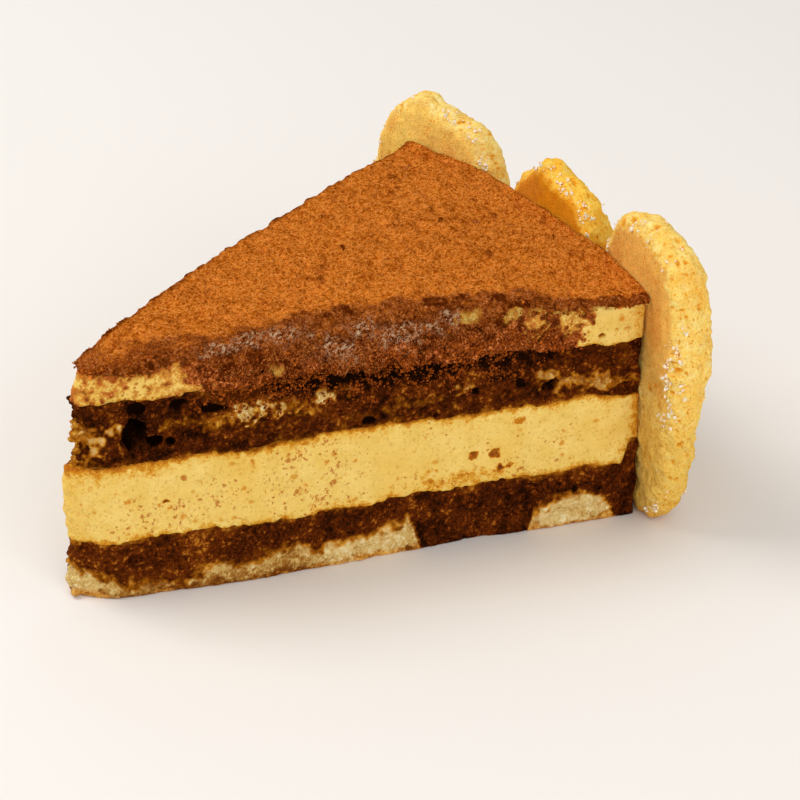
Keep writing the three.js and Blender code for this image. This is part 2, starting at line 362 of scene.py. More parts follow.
def grid_normals(points, closed):
    """Unit normals of a grid of points (rows, columns, 3), to the left of a row seen from its next row."""
    across = np.roll(points, -1, axis=1) - np.roll(points, 1, axis=1)
    if not closed:
        across[:, 0] = points[:, 1] - points[:, 0]
        across[:, -1] = points[:, -1] - points[:, -2]
    normals = np.cross(across, np.gradient(points, axis=0))
    return normals / most(np.linalg.norm(normals, axis=-1, keepdims=True), 1e-9)


def close(points, faces, ring, rings, facing=1):
    """Closes a mesh from a ring of point numbers, over `rings` of new points, to the middle of the last one.

    A triangle is a quad whose last two corners agree.
    """
    for new_points in rings:
        inner = sum(map(len, points)) + np.arange(len(ring))
        faces.append(np.stack([ring, np.roll(ring, -1), np.roll(inner, -1), inner][::facing], axis=-1))
        points.append(new_points)
        ring = inner
    middle = np.full(len(ring), sum(map(len, points)))
    faces.append(np.stack([ring[::facing], np.roll(ring[::facing], -1), middle, middle], axis=-1))
    points.append(np.concatenate(points)[ring].mean(axis=0, keepdims=True))


def make_mesh(name, points, faces, masks, smooth=True):
    """A mesh object from groups of millimetre points and of faces."""
    points = np.concatenate(points)
    faces = np.concatenate(faces)
    triangle = faces[:, 2] == faces[:, 3]
    sizes = np.where(triangle, 3, 4)
    corners = faces.ravel()[np.repeat(~triangle, 4) | np.tile([True, True, True, False], len(faces))]
    mesh = bpy.data.meshes.new(name)
    mesh.vertices.add(len(points))
    mesh.vertices.foreach_set("co", placed(points).ravel())
    mesh.loops.add(len(corners))
    mesh.loops.foreach_set("vertex_index", corners.astype(np.int32))
    mesh.polygons.add(len(sizes))
    starts = np.concatenate([[0], np.cumsum(sizes)[:-1]])
    mesh.polygons.foreach_set("loop_start", starts.astype(np.int32))
    for mask, values in masks.items():
        attribute = mesh.attributes.new(mask, "FLOAT", "POINT")
        attribute.data.foreach_set("value", np.asarray(values, np.float32))
    mesh.update(calc_edges=True)
    mesh.polygons.foreach_set("use_smooth", np.full(len(sizes), smooth))
    mesh.validate()
    return linked(name, mesh)


def linked(name, data):
    """A new object in the scene."""
    made = bpy.data.objects.new(name, data)
    bpy.context.scene.collection.objects.link(made)
    return made


# ---- Layers ----

CUT_STEP = 0.25
BACK_STEP = 0.7
WALL_STEP = 1.0
ROW_STEP = 0.25
TIP_STEPS = 14
OVERLAP = 0.15  # neighbouring layers reach this far into each other, across the solids' gap
RAGGED = 0.35  # unevenness of the line between two layers
CAP_RINGS = (0.02, 0.1, 0.4)  # shares of the way to the middle of a layer
CAP_MIDDLE = (0.66, 0.5)  # down and across
CORNER_PASSES = 6


def outline():
    """Down and across of a walk round the wedge: along the front cut, the wall, the back cut and the tip."""
    wall_length = 2 * SIDE_LENGTH * HALF_WEDGE
    front = np.arange(0, 1, CUT_STEP / SIDE_LENGTH)
    wall = np.arange(0, 1, WALL_STEP / wall_length)
    back = 1 - np.arange(0, 1, BACK_STEP / SIDE_LENGTH)
    tip = 1 - np.arange(0, 1, 1 / TIP_STEPS)
    down = np.concatenate([front, np.ones_like(wall), back, np.zeros_like(tip)])
    across = np.concatenate([np.zeros_like(front), wall, np.ones_like(back), tip])
    return down, across


def ragged(face, shift):
    """A face between two layers, with its torn edge, moved by `shift`."""

    def level(x, y, from_wall):
        spot = np.stack([x, y, 0 * x], axis=-1)
        by_lip = plateau(from_wall, 0.6, 1.6, 3.2, 4.6)
        torn = RAGGED * (1 + 1.8 * by_lip) * rough(spot, 71, (1, 2.8), (0.6, 1.1))
        return face(x, y, from_wall) + torn + shift

    return level


def cap_rings(down, across, level, relief, tip_set, shift):
    """Rings of points from a layer's edge, which was moved by `shift`, towards the middle of its face."""
    for share in CAP_RINGS:
        ring_down = mix(down, CAP_MIDDLE[0], share)
        ring_across = mix(across, CAP_MIDDLE[1], share)
        x, y, _, reach = plan_point(ring_down, ring_across)
        height = level(x, y, (1 - ring_down) * reach)
        yield wedge_point(ring_down, ring_across, height, relief, tip_set) + shift * fall(share, 0, 0.05)


def layer(name, bottom, top, relief, tip_set, detail, rounding):
    """A layer of the wedge, the points of its side and their normals.

    `detail(place)` gives its fine relief and its masks. The place holds, for each point of the side, its
    position, its distance along the cut, its height, whether it is on the front cut, its share of the tip and
    how far it is from the layer's lower and upper edge.
    """
    down, across = outline()
    x, y, sideways, reach = plan_point(down, across)
    from_wall = (1 - down) * reach
    low = bottom(x, y, from_wall)
    high = top(x, y, from_wall)
    rows = int(round(np.median(high - low) / ROW_STEP)) + 1
    height = mix(low, high, np.linspace(0, 1, rows)[:, None])
    points = wedge_point(down, across, height, relief, tip_set)
    corner = (down < 0.012) | ((down > 0.988) & ((across < 0.02) | (across > 0.98)))
    for _ in range(CORNER_PASSES):
        middle = (np.roll(points, 1, axis=1) + np.roll(points, -1, axis=1)) / 2
        points = np.where(corner[None, :, None], mix(points, middle, 0.5), points)
    normals = grid_normals(points, True)
    nearness = np.clip(1 - np.minimum(height - low, high - height) / rounding, 0, 1)
    tuck = rounding * (1 - np.sqrt(1 - nearness**2))

    def spread(values):
        return np.broadcast_to(values, height.shape).ravel()

    out, masks = detail(SimpleNamespace(
        points=points.reshape(-1, 3),
        along=spread(along_cut(x, y)),
        height=height.ravel(),
        front=spread((sideways < 0) & (down < 1) | (down == 0)),
        tip=spread(fall(down * SIDE_LENGTH, 0, 4)),
        from_low=(height - low).ravel(),
        from_high=(high - height).ravel(),
    ))
    moved = points + normals * (out.reshape(height.shape) - tuck)[..., None]
    moved[..., 2] = most(moved[..., 2], 0)
    all_points = [moved.reshape(-1, 3)]
    faces = [grid_faces(rows, len(down), True)]
    for row, level, facing in ((0, bottom, -1), (rows - 1, top, 1)):
        ring = row * len(down) + np.arange(len(down))
        rings = cap_rings(down, across, level, relief, tip_set, moved[row] - points[row])
        close(all_points, faces, ring, rings, facing)
    for mask, values in masks.items():
        edges = values.reshape(rows, -1)[[0, -1]]
        caps = [np.append(np.tile(edge, len(CAP_RINGS)), np.median(values)) for edge in edges]
        masks[mask] = np.concatenate([values, *caps])
    return make_mesh(name, all_points, faces, masks), moved, normals


# ---- Patches on the front cut ----


def patches(place, table, wobble, start, end):
    """For each row of `table`, how much its ellipse covers each point, and the row's strength or depth, or 1.

    It covers a point fully where its depth, 1 in the middle and 0 at the edge, with `wobble` is over `end`.
    """
    for along, height, half_length, half_height, *strength in table:
        away = np.hypot((place.along - along) / half_length, (place.height - height) / half_height)
        inside = np.where(place.front, 1 - away, -9)
        yield rise(inside + wobble, start, end), strength[0] if strength else 1


def strongest(*given):
    """The strongest of the patches at each point."""
    return np.max([strength * covered for covered, strength in patches(*given)], axis=0)


# ---- Sponge ----

# The line that the coffee reached on the front cut: soaked above, pale below
COFFEE_LINE = (
    (-2, 6.8), (3, 6.2), (6, 5.4), (9.5, 4.4), (13, 3.6), (17, 2.9), (23, 3.0), (27, 4.0), (29, 5.7),
    (33.5, 5.2), (37, 3.6), (40, 4.9), (42.5, 6.5), (49, 7.2), (52, 5.3), (62, 5.9), (70, 7.2), (73, 7.4),
    (75, 3.6), (77, -3), (99.8, -3), (101, 4.2), (103, 5.8), (108, 7.5), (113, 7.3), (116, 6.0), (118, 4.2),
    (120, -2), (130, -2),
)
COFFEE_ELSEWHERE = 4.0  # its mean height on the back cut and the wall
COFFEE_FADES = 3.4  # over this height
SKIN_HEIGHT = 1.4  # of the baked skin under the base

# How much lighter the base's crumb is than usual at the left and at the right, where pale and where soaked
PALE_TONES = (-0.14, 0.18)
SOAKED_TONES = (0.1, -0.06)
TIP_TONE = 0.24  # and how much more the pale crumb at the tip

# Patches of the upper sponge that the coffee missed: along, height, half length, half height, and how pale
PALE_PATCHES = (
    (1.4, 36.4, 4.8, 3.4, 0.6), (4.2, 35.0, 2.2, 1.1, 0.72), (6.4, 36.6, 2.2, 1.0, 0.74),
    (8.8, 38.0, 2.2, 0.9, 0.78), (40.5, 39.4, 4.6, 2.8, 1.0), (54.5, 40.2, 3.2, 1.5, 0.95),
    (33.0, 38.2, 5.0, 1.6, 0.5), (48.0, 38.8, 4.5, 1.8, 0.5), (110.5, 36.2, 6.0, 1.9, 0.66),
    (84.6, 38.4, 1.4, 0.9, 0.8), (103.0, 38.6, 1.8, 0.9, 0.7), (118.0, 35.4, 4.0, 1.4, 0.45),
    (24.0, 38.6, 5.0, 0.8, 0.4), (76.0, 36.0, 6.0, 1.3, 0.36),
)

# Holes in the upper sponge, carved and painted with shade: along, height, half length, half height, depth
HOLES = (
    (13.7, 37.2, 2.9, 3.8, 4.8), (18.5, 35.4, 1.6, 1.5, 3.0), (21.5, 35.0, 1.1, 1.0, 2.2),
    (23.3, 43.2, 2.0, 1.5, 1.8), (14.5, 43.3, 1.8, 1.2, 1.2), (103.8, 36.2, 1.8, 1.7, 2.4),
    (87.0, 37.2, 1.1, 1.0, 1.6), (64.0, 33.4, 1.4, 0.8, 1.2), (68.0, 42.9, 3.6, 1.0, 1.2),
    (31.0, 41.5, 2.6, 0.9, 1.0),
)
UNDER_SMEAR_DEPTH = 0.9  # the upper sponge is set back this much where the smear hangs over it, and painted with shade there


def crumb(points, wide_share, seed):
    """Torn sponge: packed grains, and pores. Gives its relief, and its painted shading: shade in a pore (0),
    light on a grain (1), with random patches.
    """
    twisted = bent(points, 0.3, 1.0, seed + 30)
    lumps = rough(points, seed, (0.35, 5), (0.2, 1.8))
    packed = balls(twisted, 0.9, 0.3, 0.6, 0.8, seed + 2)
    wide = balls(twisted, 2.8, 0.3, 1.0, wide_share, seed + 10)
    fine = balls(twisted, 1.2, 0.2, 0.5, 0.5, seed + 20)
    pore = most(wide, fine)
    patchy = rough(points, seed + 3, (0.12, 4.5), (0.12, 1.8))
    return lumps + 0.5 * packed - 0.15 - 0.7 * pore, 0.32 + 0.75 * packed + patchy - 0.6 * pore


def touching(place, reach):
    """1 where a layer meets the one below and the one above, fading out unevenly over about `reach`."""
    fuzz = most(reach * (1 + rough(place.points, 41, (0.5, 2.0), (0.3, 0.8))), 0.1)
    return np.exp(-place.from_low / fuzz), np.exp(-place.from_high / fuzz)


def base_detail(place):
    points = place.points
    out, tone = crumb(points, 0.2, 100)
    line = np.interp(place.along, *np.array(COFFEE_LINE).T)
    line = np.where(place.front, line, COFFEE_ELSEWHERE + 2.5 * noise(points, 16, 131))
    torn = rough(points, 132, (0.8, 3.0), (0.7, 1.0))
    _, above = touching(place, 0.9)
    soak = np.clip(0.5 + (place.height - line + torn) / COFFEE_FADES, 0, 1) * (1 - 0.45 * above)
    uneven = rough(points, 134, (0.8, 4.0), (0.5, 1.2), step=3)
    skin = fall(place.height + uneven, SKIN_HEIGHT - 0.5, SKIN_HEIGHT + 0.7)
    ragged_tip = place.tip * rough(points, 135, (0.8, 2.6), (0.5, 1.0))
    out = 0.8 * out * rise(place.from_low, -2.0, 1.2) + ragged_tip
    to_right = rise(place.along, 40, 70)
    pale_tone = mix(*PALE_TONES, to_right) + TIP_TONE * fall(place.along, 4, 11)
    tone = tone + mix(pale_tone, mix(*SOAKED_TONES, to_right), soak)
    return out, {"soak": soak, "skin": skin, "tone": tone}


def upper_detail(place):
    points = place.points
    out, tone = crumb(points, 0.3, 200)
    torn = rough(points, 231, (0.5, 2.2), (0.6, 0.9))
    scattered = rise(noise(points, 7, 233) + 0.6 * torn, 0.35, 1.1) * np.where(place.front, 0.2, 0.75)
    pale = most(strongest(place, PALE_PATCHES, torn, -0.7, 0.6), scattered)
    hole = 0
    wobble = rough(points, 234, (0.12, 2.0), (0.12, 0.9), step=3)
    for inside, depth in patches(place, HOLES, wobble, -0.05, 0.35):
        out = out - depth * inside
        hole = most(hole, inside)
    under_smear = plateau(place.along, 30, 50, 96, 108) * place.front
    under_smear = under_smear * rise(place.height + 1.2 * noise(points, 3.0, 238), 39.5, 43.5)
    # Painted shade in the holes and under the overhanging smear: darker, in the soaked colour
    dark = most(hole, 0.5 * under_smear)
    ragged_tip = place.tip * rough(points, 235, (0.7, 2.2), (0.6, 0.9))
    out = out - UNDER_SMEAR_DEPTH * under_smear + ragged_tip
    tone = tone - 0.12 * plateau(place.along, 10, 16, 28, 36) * place.front
    tone = tone + 0.25 * pale * fall(place.along, 8, 12) - 0.9 * dark
    below, above = touching(place, 0.9)
    soak = (1 - pale) * (1 - 0.45 * most(below, 0.3 * above))
    return out, {"soak": most(soak, dark), "skin": 0 * pale, "tone": tone}


# ---- Cream ----

# Brown spots and stains on the middle cream: along, height, half length, half height, strength
CREAM_STAINS = (
    (87.0, 21.7, 1.2, 0.8, 0.8), (91.8, 21.4, 1.1, 0.9, 0.85), (93.6, 17.8, 1.6, 1.1, 0.9),
    (77.0, 17.0, 2.0, 3.2, 0.45), (84.5, 16.0, 10.0, 2.4, 0.4), (96.6, 28.6, 1.5, 1.3, 0.58),
    (105.6, 29.4, 1.4, 0.9, 0.2), (49.0, 31.2, 3.0, 0.9, 0.5), (20.4, 21.5, 0.8, 0.5, 0.9),
    (38.5, 27.0, 1.6, 0.8, 0.3),
)
COFFEE_STAIN = 0.62  # how brown the middle cream is where it touches the sponges

# Open bubbles in the top cream, carved and painted with shade by their depth: along, height, half length, half
# height, depth
CREAM_PITS = (
    (115.5, 53.6, 1.6, 0.6, 0.5), (117.5, 48.3, 0.5, 0.4, 0.7), (120.0, 48.2, 0.9, 0.5, 0.8),
    (114.2, 47.2, 0.7, 0.6, 1.4), (122.2, 51.8, 0.5, 0.4, 0.5),
)

# Clean patches in the cocoa that smears the top cream's front: along, height, half length, half height
CLEAN_PATCHES = (
    (86.5, 53.8, 3.2, 1.7), (95.6, 53.9, 2.5, 2.4), (100.2, 51.2, 2.8, 2.6), (107.0, 52.6, 3.0, 3.8),
    (103.0, 54.4, 3.0, 1.4), (44.2, 48.3, 1.9, 1.2), (14.0, 50.0, 5.0, 1.8), (23.2, 49.4, 1.5, 2.8),
    (24.0, 46.9, 5.0, 1.0), (5.0, 49.0, 7.0, 5.0), (12.0, 46.8, 8.0, 1.6),
)
CLEANED = 0.72  # share of the powder that is gone there
SMEAR_STARTS = 18.5
SMEAR_ENDS = 111.5
SMEAR_UNDERCUT = 1.3  # depth of the hollow under the smear, which is also painted with shade

# Streaks of painted sheen, silvery glints in the smear: along, height, half length, half height
SHEEN_STREAKS = (
    (31.0, 55.5, 5.0, 1.6), (41.0, 57.5, 4.5, 1.6), (36.8, 56.0, 4.0, 1.8), (47.0, 55.5, 5.0, 2.2),
    (57.0, 51.0, 5.0, 2.6), (62.6, 54.0, 4.5, 2.0), (70.7, 51.4, 4.5, 2.4), (80.8, 54.2, 4.0, 1.6),
    (76.0, 53.0, 5.0, 1.6),
)


def speckled(place):
    """How densely brown specks lie on the middle cream, as a share of its surface's cells."""
    cluster = plateau(place.along, 38, 49, 57, 66) * plateau(place.height, 10, 14, 30, 34)
    left = plateau(place.along, 6, 12, 30, 42) * plateau(place.height, 12, 16, 24, 28)
    low = plateau(place.along, 60, 80, 98, 106) * fall(place.height, 17, 24)
    on_front = 0.06 + 0.5 * cluster + 0.34 * left + 0.3 * low
    clumped = 0.6 + 0.8 * noise(place.points, 4, 334)
    return np.where(place.front, on_front, 0.15) * np.clip(clumped, 0, 2)


def beside_wall(place):
    """Stain where the cream meets the outer wall and the base's lip."""
    along = place.along + rough(place.points, 335, (0.7, 3.0), (0.4, 1.0))
    by_lip = rise(along, 117.0, 121.5) * fall(place.height, 17, 23)
    return 0.5 * most(rise(along, 119.0, 122.5), by_lip)


def cream_surface(points, seed):
    """Smooth cream with strokes of the knife and oval bubbles: its relief, and where the bubbles are."""
    broad = rough(points, seed, (0.16, 9), (0.05, 2.5))
    strokes = 0.05 * noise(points * (0.35, 0.35, 1.0), 1.2, seed + 2)
    flattened = points * (0.75, 0.75, 1.15)
    bubbles = balls(flattened, 3.2, 0.25, 0.75, 0.5, seed + 10)
    bubbles = most(bubbles, balls(flattened, 1.5, 0.12, 0.34, 0.5, seed + 20))
    return broad + strokes - 0.7 * bubbles, rise(bubbles, 0, 0.3)


def middle_detail(place):
    points = place.points
    out, bubble = cream_surface(points, 300)
    below, above = touching(place, 1.5)
    _, above_tip = touching(place, 3.0)
    touched = most(below, np.where(place.along < 26, above_tip, above))
    spots = strongest(place, CREAM_STAINS, rough(points, 331, (0.4, 1.4), (0.4, 0.7)), -0.4, 0.6)
    out = out + place.tip * rough(points, 337, (0.3, 2.4), (0.25, 0.9))
    none = 0 * spots
    return out, {
        "stain_and_shade": most(spots, COFFEE_STAIN * touched, beside_wall(place)),
        "warm": most(rise(noise(points, 11, 333), 0.1, 1.2), 0.8 * place.tip),
        "bubble": bubble, "specks": speckled(place), "cover": none, "painted_sheen": none, "shade": none,
        "tone": none + 0.5,
    }


def powder_on_cut(place):
    """Cocoa on a cut's face: how much it covers, how much painted sheen is in it and how dark it is, partly
    the darker dragged powder and partly painted shade on the faces below the top.
    """
    along = place.along
    torn = rough(place.points, 431, (0.5, 2.4), (0.5, 0.9))
    side = np.where(place.front, FRONT, BACK)
    below = cream_top_top(along * COS_HALF, side * along * SIN_HALF) - place.height
    end = fall(along + 2.5 * torn + 0.35 * (50 - place.height), SMEAR_ENDS - 2, SMEAR_ENDS + 1)
    dragged = rise(along + 6 * torn, SMEAR_STARTS - 6, SMEAR_STARTS + 8) * end
    for cleaned, _ in patches(place, CLEAN_PATCHES, 0.7 * torn, -0.45, 0.75):
        dragged = dragged * (1 - CLEANED * cleaned)
    mottled = 0.75 * rise(torn + 0.3 * noise(place.points, 5, 434), -0.25, 0.8) * fall(along, 14, 26)
    reach = mix(1.6, 3.6, rise(along, 3, 14)) * (1 - 0.8 * rise(along, 20, 60))
    dusted = fall(below + 1.2 * torn, 0.3 * reach, 1.3 * reach)
    cover = np.where(place.front, most(dragged, mottled, dusted), 0.9 * dusted)
    painted_sheen = strongest(place, SHEEN_STREAKS, 0.4 * noise(place.points, 1.5, 433), -0.6, 0.8)
    # Partly painted shade: the faces below the top are darker, and more so further down
    shade = np.where(place.front, rise(below, -0.5, 2), rise(below, 1, 3)) * (0.65 + 0.35 * rise(below, 3, 8))
    return cover, painted_sheen, shade * (0.75 + 0.25 * rise(along, 8, 30))


def smear_clumps(points):
    """Granular cocoa on a cut: its relief, and its painted shading, light on the grains and shade in the gaps.
    """
    packed = balls(bent(points, 0.35, 1.2, 440), 0.95, 0.3, 0.62, 0.75, 444)
    uneven = 0.3 * noise(points, 1.6, 435)
    return 0.55 * packed + uneven, 0.15 + 1.1 * packed + 0.6 * uneven


def top_detail(place):
    points = place.points
    out, bubble = cream_surface(points, 400)
    cover, painted_sheen, shade = powder_on_cut(place)
    clumps, tone = smear_clumps(points)
    side = np.where(place.front, FRONT, BACK)
    under_skin = fall(place.from_high - cocoa_hang(side, place.along), -1.2, -0.2)
    out = mix(out + cover * clumps, np.minimum(out, 0.1), under_skin)
    hanging = place.from_low + rough(points, 441, (0.9, 2.2), (0.7, 0.9))
    # The hollow under the smear gets painted shade as well as its depth
    undercut = fall(hanging, 0.7, 1.5) * plateau(place.along, 34, 50, 62, 96) * place.front
    out = out - SMEAR_UNDERCUT * undercut
    below, _ = touching(place, 0.8)
    stain_and_shade = 0.7 * most(below, beside_wall(place))
    # Deeper pits get more painted shade
    for inside, depth in patches(place, CREAM_PITS, 0.2 * noise(points, 0.8, 439), -0.1, 0.5):
        out = out - depth * inside
        stain_and_shade = most(stain_and_shade, min(0.6 * depth, 1) * inside)
    clouded = rise(noise(points, 9, 438), 0.1, 1.2) * fall(place.along, 90, 108)
    return out, {
        "stain_and_shade": stain_and_shade,
        "warm": most(clouded, 0.9 * fall(place.along, 6, 26)),
        "bubble": bubble,
        "specks": np.where(place.front, 0.55 * fall(place.along, 14, 30) + 0.06, 0.2),
        "cover": cover, "painted_sheen": painted_sheen, "shade": most(shade, undercut), "tone": tone - 0.9 * undercut,
    }


# ---- Cocoa ----

COCOA_DOWN_STEPS = 320
COCOA_ACROSS_STEPS = 246
FRONT_HANG_STEPS = 26
BACK_HANG_STEPS = 8
FOLD_WIDTH = 2.2  # the powder rounds the cake's edge over this width
FOLD_PASSES = 14
UNDERSIDE_RINGS = (0.0, 0.03, 0.12, 0.5, 0.85)  # shares of the way to the middle
UNDERSIDE_MASKS = {"cover": 1.0, "painted_sheen": 0.0, "shade": 0.5, "tone": 0.5}
DARK_WIDTHS = (6.5, 1.4)  # of the darker powder along the front edge, at most of it and beside the fingers

# Dents in the powder, carved and painted with shade: x, y, radius, depth
DENTS = (
    (101, 28, 2.2, 0.7), (96, 22, 1.5, 0.6), (88, 8, 1.6, 0.8), (97, -12, 1.4, 0.8), (60, -4, 1.2, 0.5),
    (72, 17, 1.5, 0.4),
)


def thinned_share(x):
    """The powder thins out towards the tip."""
    return 0.5 + 0.5 * rise(x, 0, 12)


def cocoa_sheet(down, column, thickness):
    """The skin, `thickness` below its top. `column` is under 0 on the front cut and over 1 on the back cut."""
    across = np.clip(column, 0, 1)
    hanging = most(-column, column - 1, 0)
    x, y, _, reach = plan_point(down, across)
    side = np.where(column < 0.5, FRONT, BACK)
    along = along_cut(x, y)
    spot = np.stack([along, 0 * along, 0 * along], axis=-1)
    fringe = 1 + rough(spot, 501, (0.22, 3.0), (0.12, 1.0))
    short = 1 - 0.85 * rise(along, 109, 114)  # beside the fingers
    height = cream_top_top(x, y) - hanging * cocoa_hang(side, along) * fringe * short
    at = wedge_point(down, across, height, cream_top_relief, cream_top_tip)
    clumps = 1 + 0.2 * ripple(x, y, 13, 6.1)
    on_top = GAP + COCOA_THICKNESS * clumps * thinned_share(x) - thickness
    on_cut = GAP + COCOA_ON_CUT - 0.6 * thickness
    from_cut = np.minimum(across, 1 - across) * 2 * down * reach * HALF_WEDGE
    outward = on_cut * fall(from_cut, 0, 3)
    at[..., 0] -= outward * SIN_HALF
    at[..., 1] += side * outward * COS_HALF
    at[..., 2] += on_top * fall(hanging, 0, 0.6)
    return at, along, hanging


def folded(points):
    """The skin's points, with its folds over the two edges of the cake rounded, and where those are."""
    fold = 0
    for edge_row in (FRONT_HANG_STEPS, FRONT_HANG_STEPS + COCOA_ACROSS_STEPS):
        away = np.linalg.norm(points - points[edge_row], axis=-1)
        fold = most(fold, fall(away, 0.3 * FOLD_WIDTH, FOLD_WIDTH))
    for _ in range(FOLD_PASSES):
        middle = points.copy()
        middle[1:-1] = (points[:-2] + points[2:]) / 2
        points = mix(points, middle, 0.6 * fold[..., None])
    return points, fold.ravel()


def powder_detail(place, fold, hanging, from_front):
    """The powder's fine relief and its masks."""
    flat = place.points
    hung = rise(hanging, 0.0, 0.25)
    dark_width = mix(*DARK_WIDTHS, rise(place.along, 92, 112))
    near_front = from_front + 0.25 * dark_width * noise(flat, 3.0, 514)
    near_front = fall(near_front, 0.1 * dark_width, dark_width)
    edge = most(fold, hung, 0.5 * near_front)
    twisted = bent(flat, 0.7, 2.4, 540)
    lumps = rough(twisted, 510, (0.26, 2.6), (0.42, 1.3))
    pits = balls(twisted, 3.4, 0.3, 0.9, 0.3, 530)
    clumps, clump_tone = smear_clumps(flat)
    out = 0.2 * noise(flat, 9, 512) + mix(lumps - 0.9 * pits, clumps, edge)
    # Painted light on the lumps, and painted shade in the pits, the dents and the gaps between the clumps
    tone = mix(0.5 + 0.3 * lumps - 0.6 * pits, clump_tone, edge)
    wobble = 0.5 * noise(flat, 1.5, 513)
    for x, y, radius, depth in DENTS:
        away = np.hypot(flat[:, 0] - x, flat[:, 1] - y) + wobble
        inside = fall(away, 0.3 * radius, radius)
        out -= depth * inside
        tone -= 0.5 * depth * inside
    cover, painted_sheen, shade = powder_on_cut(place)
    out = out - 0.3 * hung * (1 - cover)
    deepest = mix(-0.8 * COCOA_THICKNESS, -0.3, most(hung, fold)) * thinned_share(flat[:, 0])
    return most(out, deepest), {
        "cover": mix(1, cover, hung),
        "painted_sheen": painted_sheen * most(hung, fall(from_front, 0, 1.5)),
        "shade": most(shade * hung, 0.62 * near_front),
        "tone": tone,
    }


def cocoa_top():
    """The powder, the points of its upper side and their normals."""
    down = np.linspace(0, 1, COCOA_DOWN_STEPS + 1)
    column = np.concatenate([
        np.linspace(-1, 0, FRONT_HANG_STEPS, endpoint=False),
        np.linspace(0, 1, COCOA_ACROSS_STEPS, endpoint=False),
        np.linspace(1, 2, BACK_HANG_STEPS + 1),
    ])
    downs, columns = np.meshgrid(down, column)
    points, along, hanging = cocoa_sheet(downs, columns, 0)
    points, fold = folded(points)
    normals = -grid_normals(points, False)
    flat = points.reshape(-1, 3)
    on_front = (columns < 0.5).ravel()
    place = SimpleNamespace(points=flat, along=along.ravel(), height=flat[:, 2], front=on_front)
    from_front = (np.clip(columns, 0, 1) * downs * 2 * SIDE_LENGTH * HALF_WEDGE).ravel()
    out, masks = powder_detail(place, fold, hanging.ravel(), from_front)
    out = out.reshape(downs.shape)
    out[[0, -1]] = 0
    out[:, [0, -1]] = 0
    moved = points + normals * out[..., None]
    number = np.arange(out.size).reshape(out.shape)
    loop = np.concatenate([number[0, :-1], number[:-1, -1], number[-1, :0:-1], number[:0:-1, 0]])
    down = downs.ravel()[loop]
    column = columns.ravel()[loop]
    rings = [cocoa_sheet(mix(down, 0.6, share), mix(column, 0.5, share), 0.9)[0] for share in UNDERSIDE_RINGS]
    all_points = [moved.reshape(-1, 3)]
    faces = [grid_faces(*out.shape, False)[:, ::-1]]
    close(all_points, faces, loop, rings)
    hidden = np.ones(len(loop) * len(rings) + 1)
    masks = {mask: np.append(values, UNDERSIDE_MASKS[mask] * hidden) for mask, values in masks.items()}
    return make_mesh("cocoa_top", all_points, faces, masks), moved, normals


# ---- Sponge fingers ----

FINGER_AROUND = {"front": 480, "middle": 300, "back": 300}
FINGER_RINGS = 100
DOME_SHARE = 7 / 12  # of the solids' rings, those on the dome
RIM_SHARE = 3 / 12  # and those on the rim
RIM_HEIGHT = 3.6
FLAT_SHARE = 0.94
OUTLINE_POWER = 2.9
DOME_POWER = 2.5
FOOT_THINNING = 0.1
DOME_UNEVENNESS = 0.35
TOASTED = {"front": 0.3, "middle": 1.0, "back": 0.0}  # how brown each finger is baked
WAIST = {"front": 2.8, "middle": 0.4, "back": 0.4}  # how much its outer side draws in below the middle
CRUST_INSETS = {"front": 2.7, "middle": 1.7, "back": 1.9}  # from the flat side's outline to its crust
EDGE_ROUNDING = 0.8  # and its edge outside the crust is rounded off by this much
SUGAR_SPREAD = 0.9  # of the sugar beside the crust
STRAY_SUGAR = 0.03


def finger_section(ring):
    """Out, dome and rim shares, for `ring` from 0 at the dome's crown to 1 at the middle of the flat side."""
    dome_angle = np.clip(ring / DOME_SHARE, 0, 1) * math.pi / 2
    rim_angle = np.clip((ring - DOME_SHARE) / RIM_SHARE, 0, 1) * math.pi / 2
    flat = FLAT_SHARE * np.clip((1 - ring) / (1 - DOME_SHARE - RIM_SHARE), 0, 1)
    on_dome = ring <= DOME_SHARE
    on_rim = ring <= DOME_SHARE + RIM_SHARE
    rim_out = 1 - (1 - FLAT_SHARE) * (1 - np.cos(rim_angle))
    out = np.where(on_dome, np.sin(dome_angle) ** (2 / DOME_POWER), np.where(on_rim, rim_out, flat))
    dome = np.where(on_dome, np.clip(np.cos(dome_angle), 0, 1) ** (2 / DOME_POWER), 0)
    rim = np.where(on_dome, 1, np.where(on_rim, 1 - np.sin(rim_angle), 0))
    return out, dome, rim


def finger_outline(angle):
    """Across and up at an angle round a finger's outline, from -1 to 1."""
    across_up = np.stack([np.cos(angle), np.sin(angle)])
    return np.sign(across_up) * np.abs(across_up) ** (2 / OUTLINE_POWER)


def even_steps(across, up, count):
    """Where on a line `count` evenly spaced points lie, as shares of the line's own steps."""
    lengths = np.concatenate([[0], np.cumsum(np.hypot(np.diff(across), np.diff(up)))])
    return np.interp(np.linspace(0, lengths[-1], count), lengths, np.linspace(0, 1, len(lengths)))


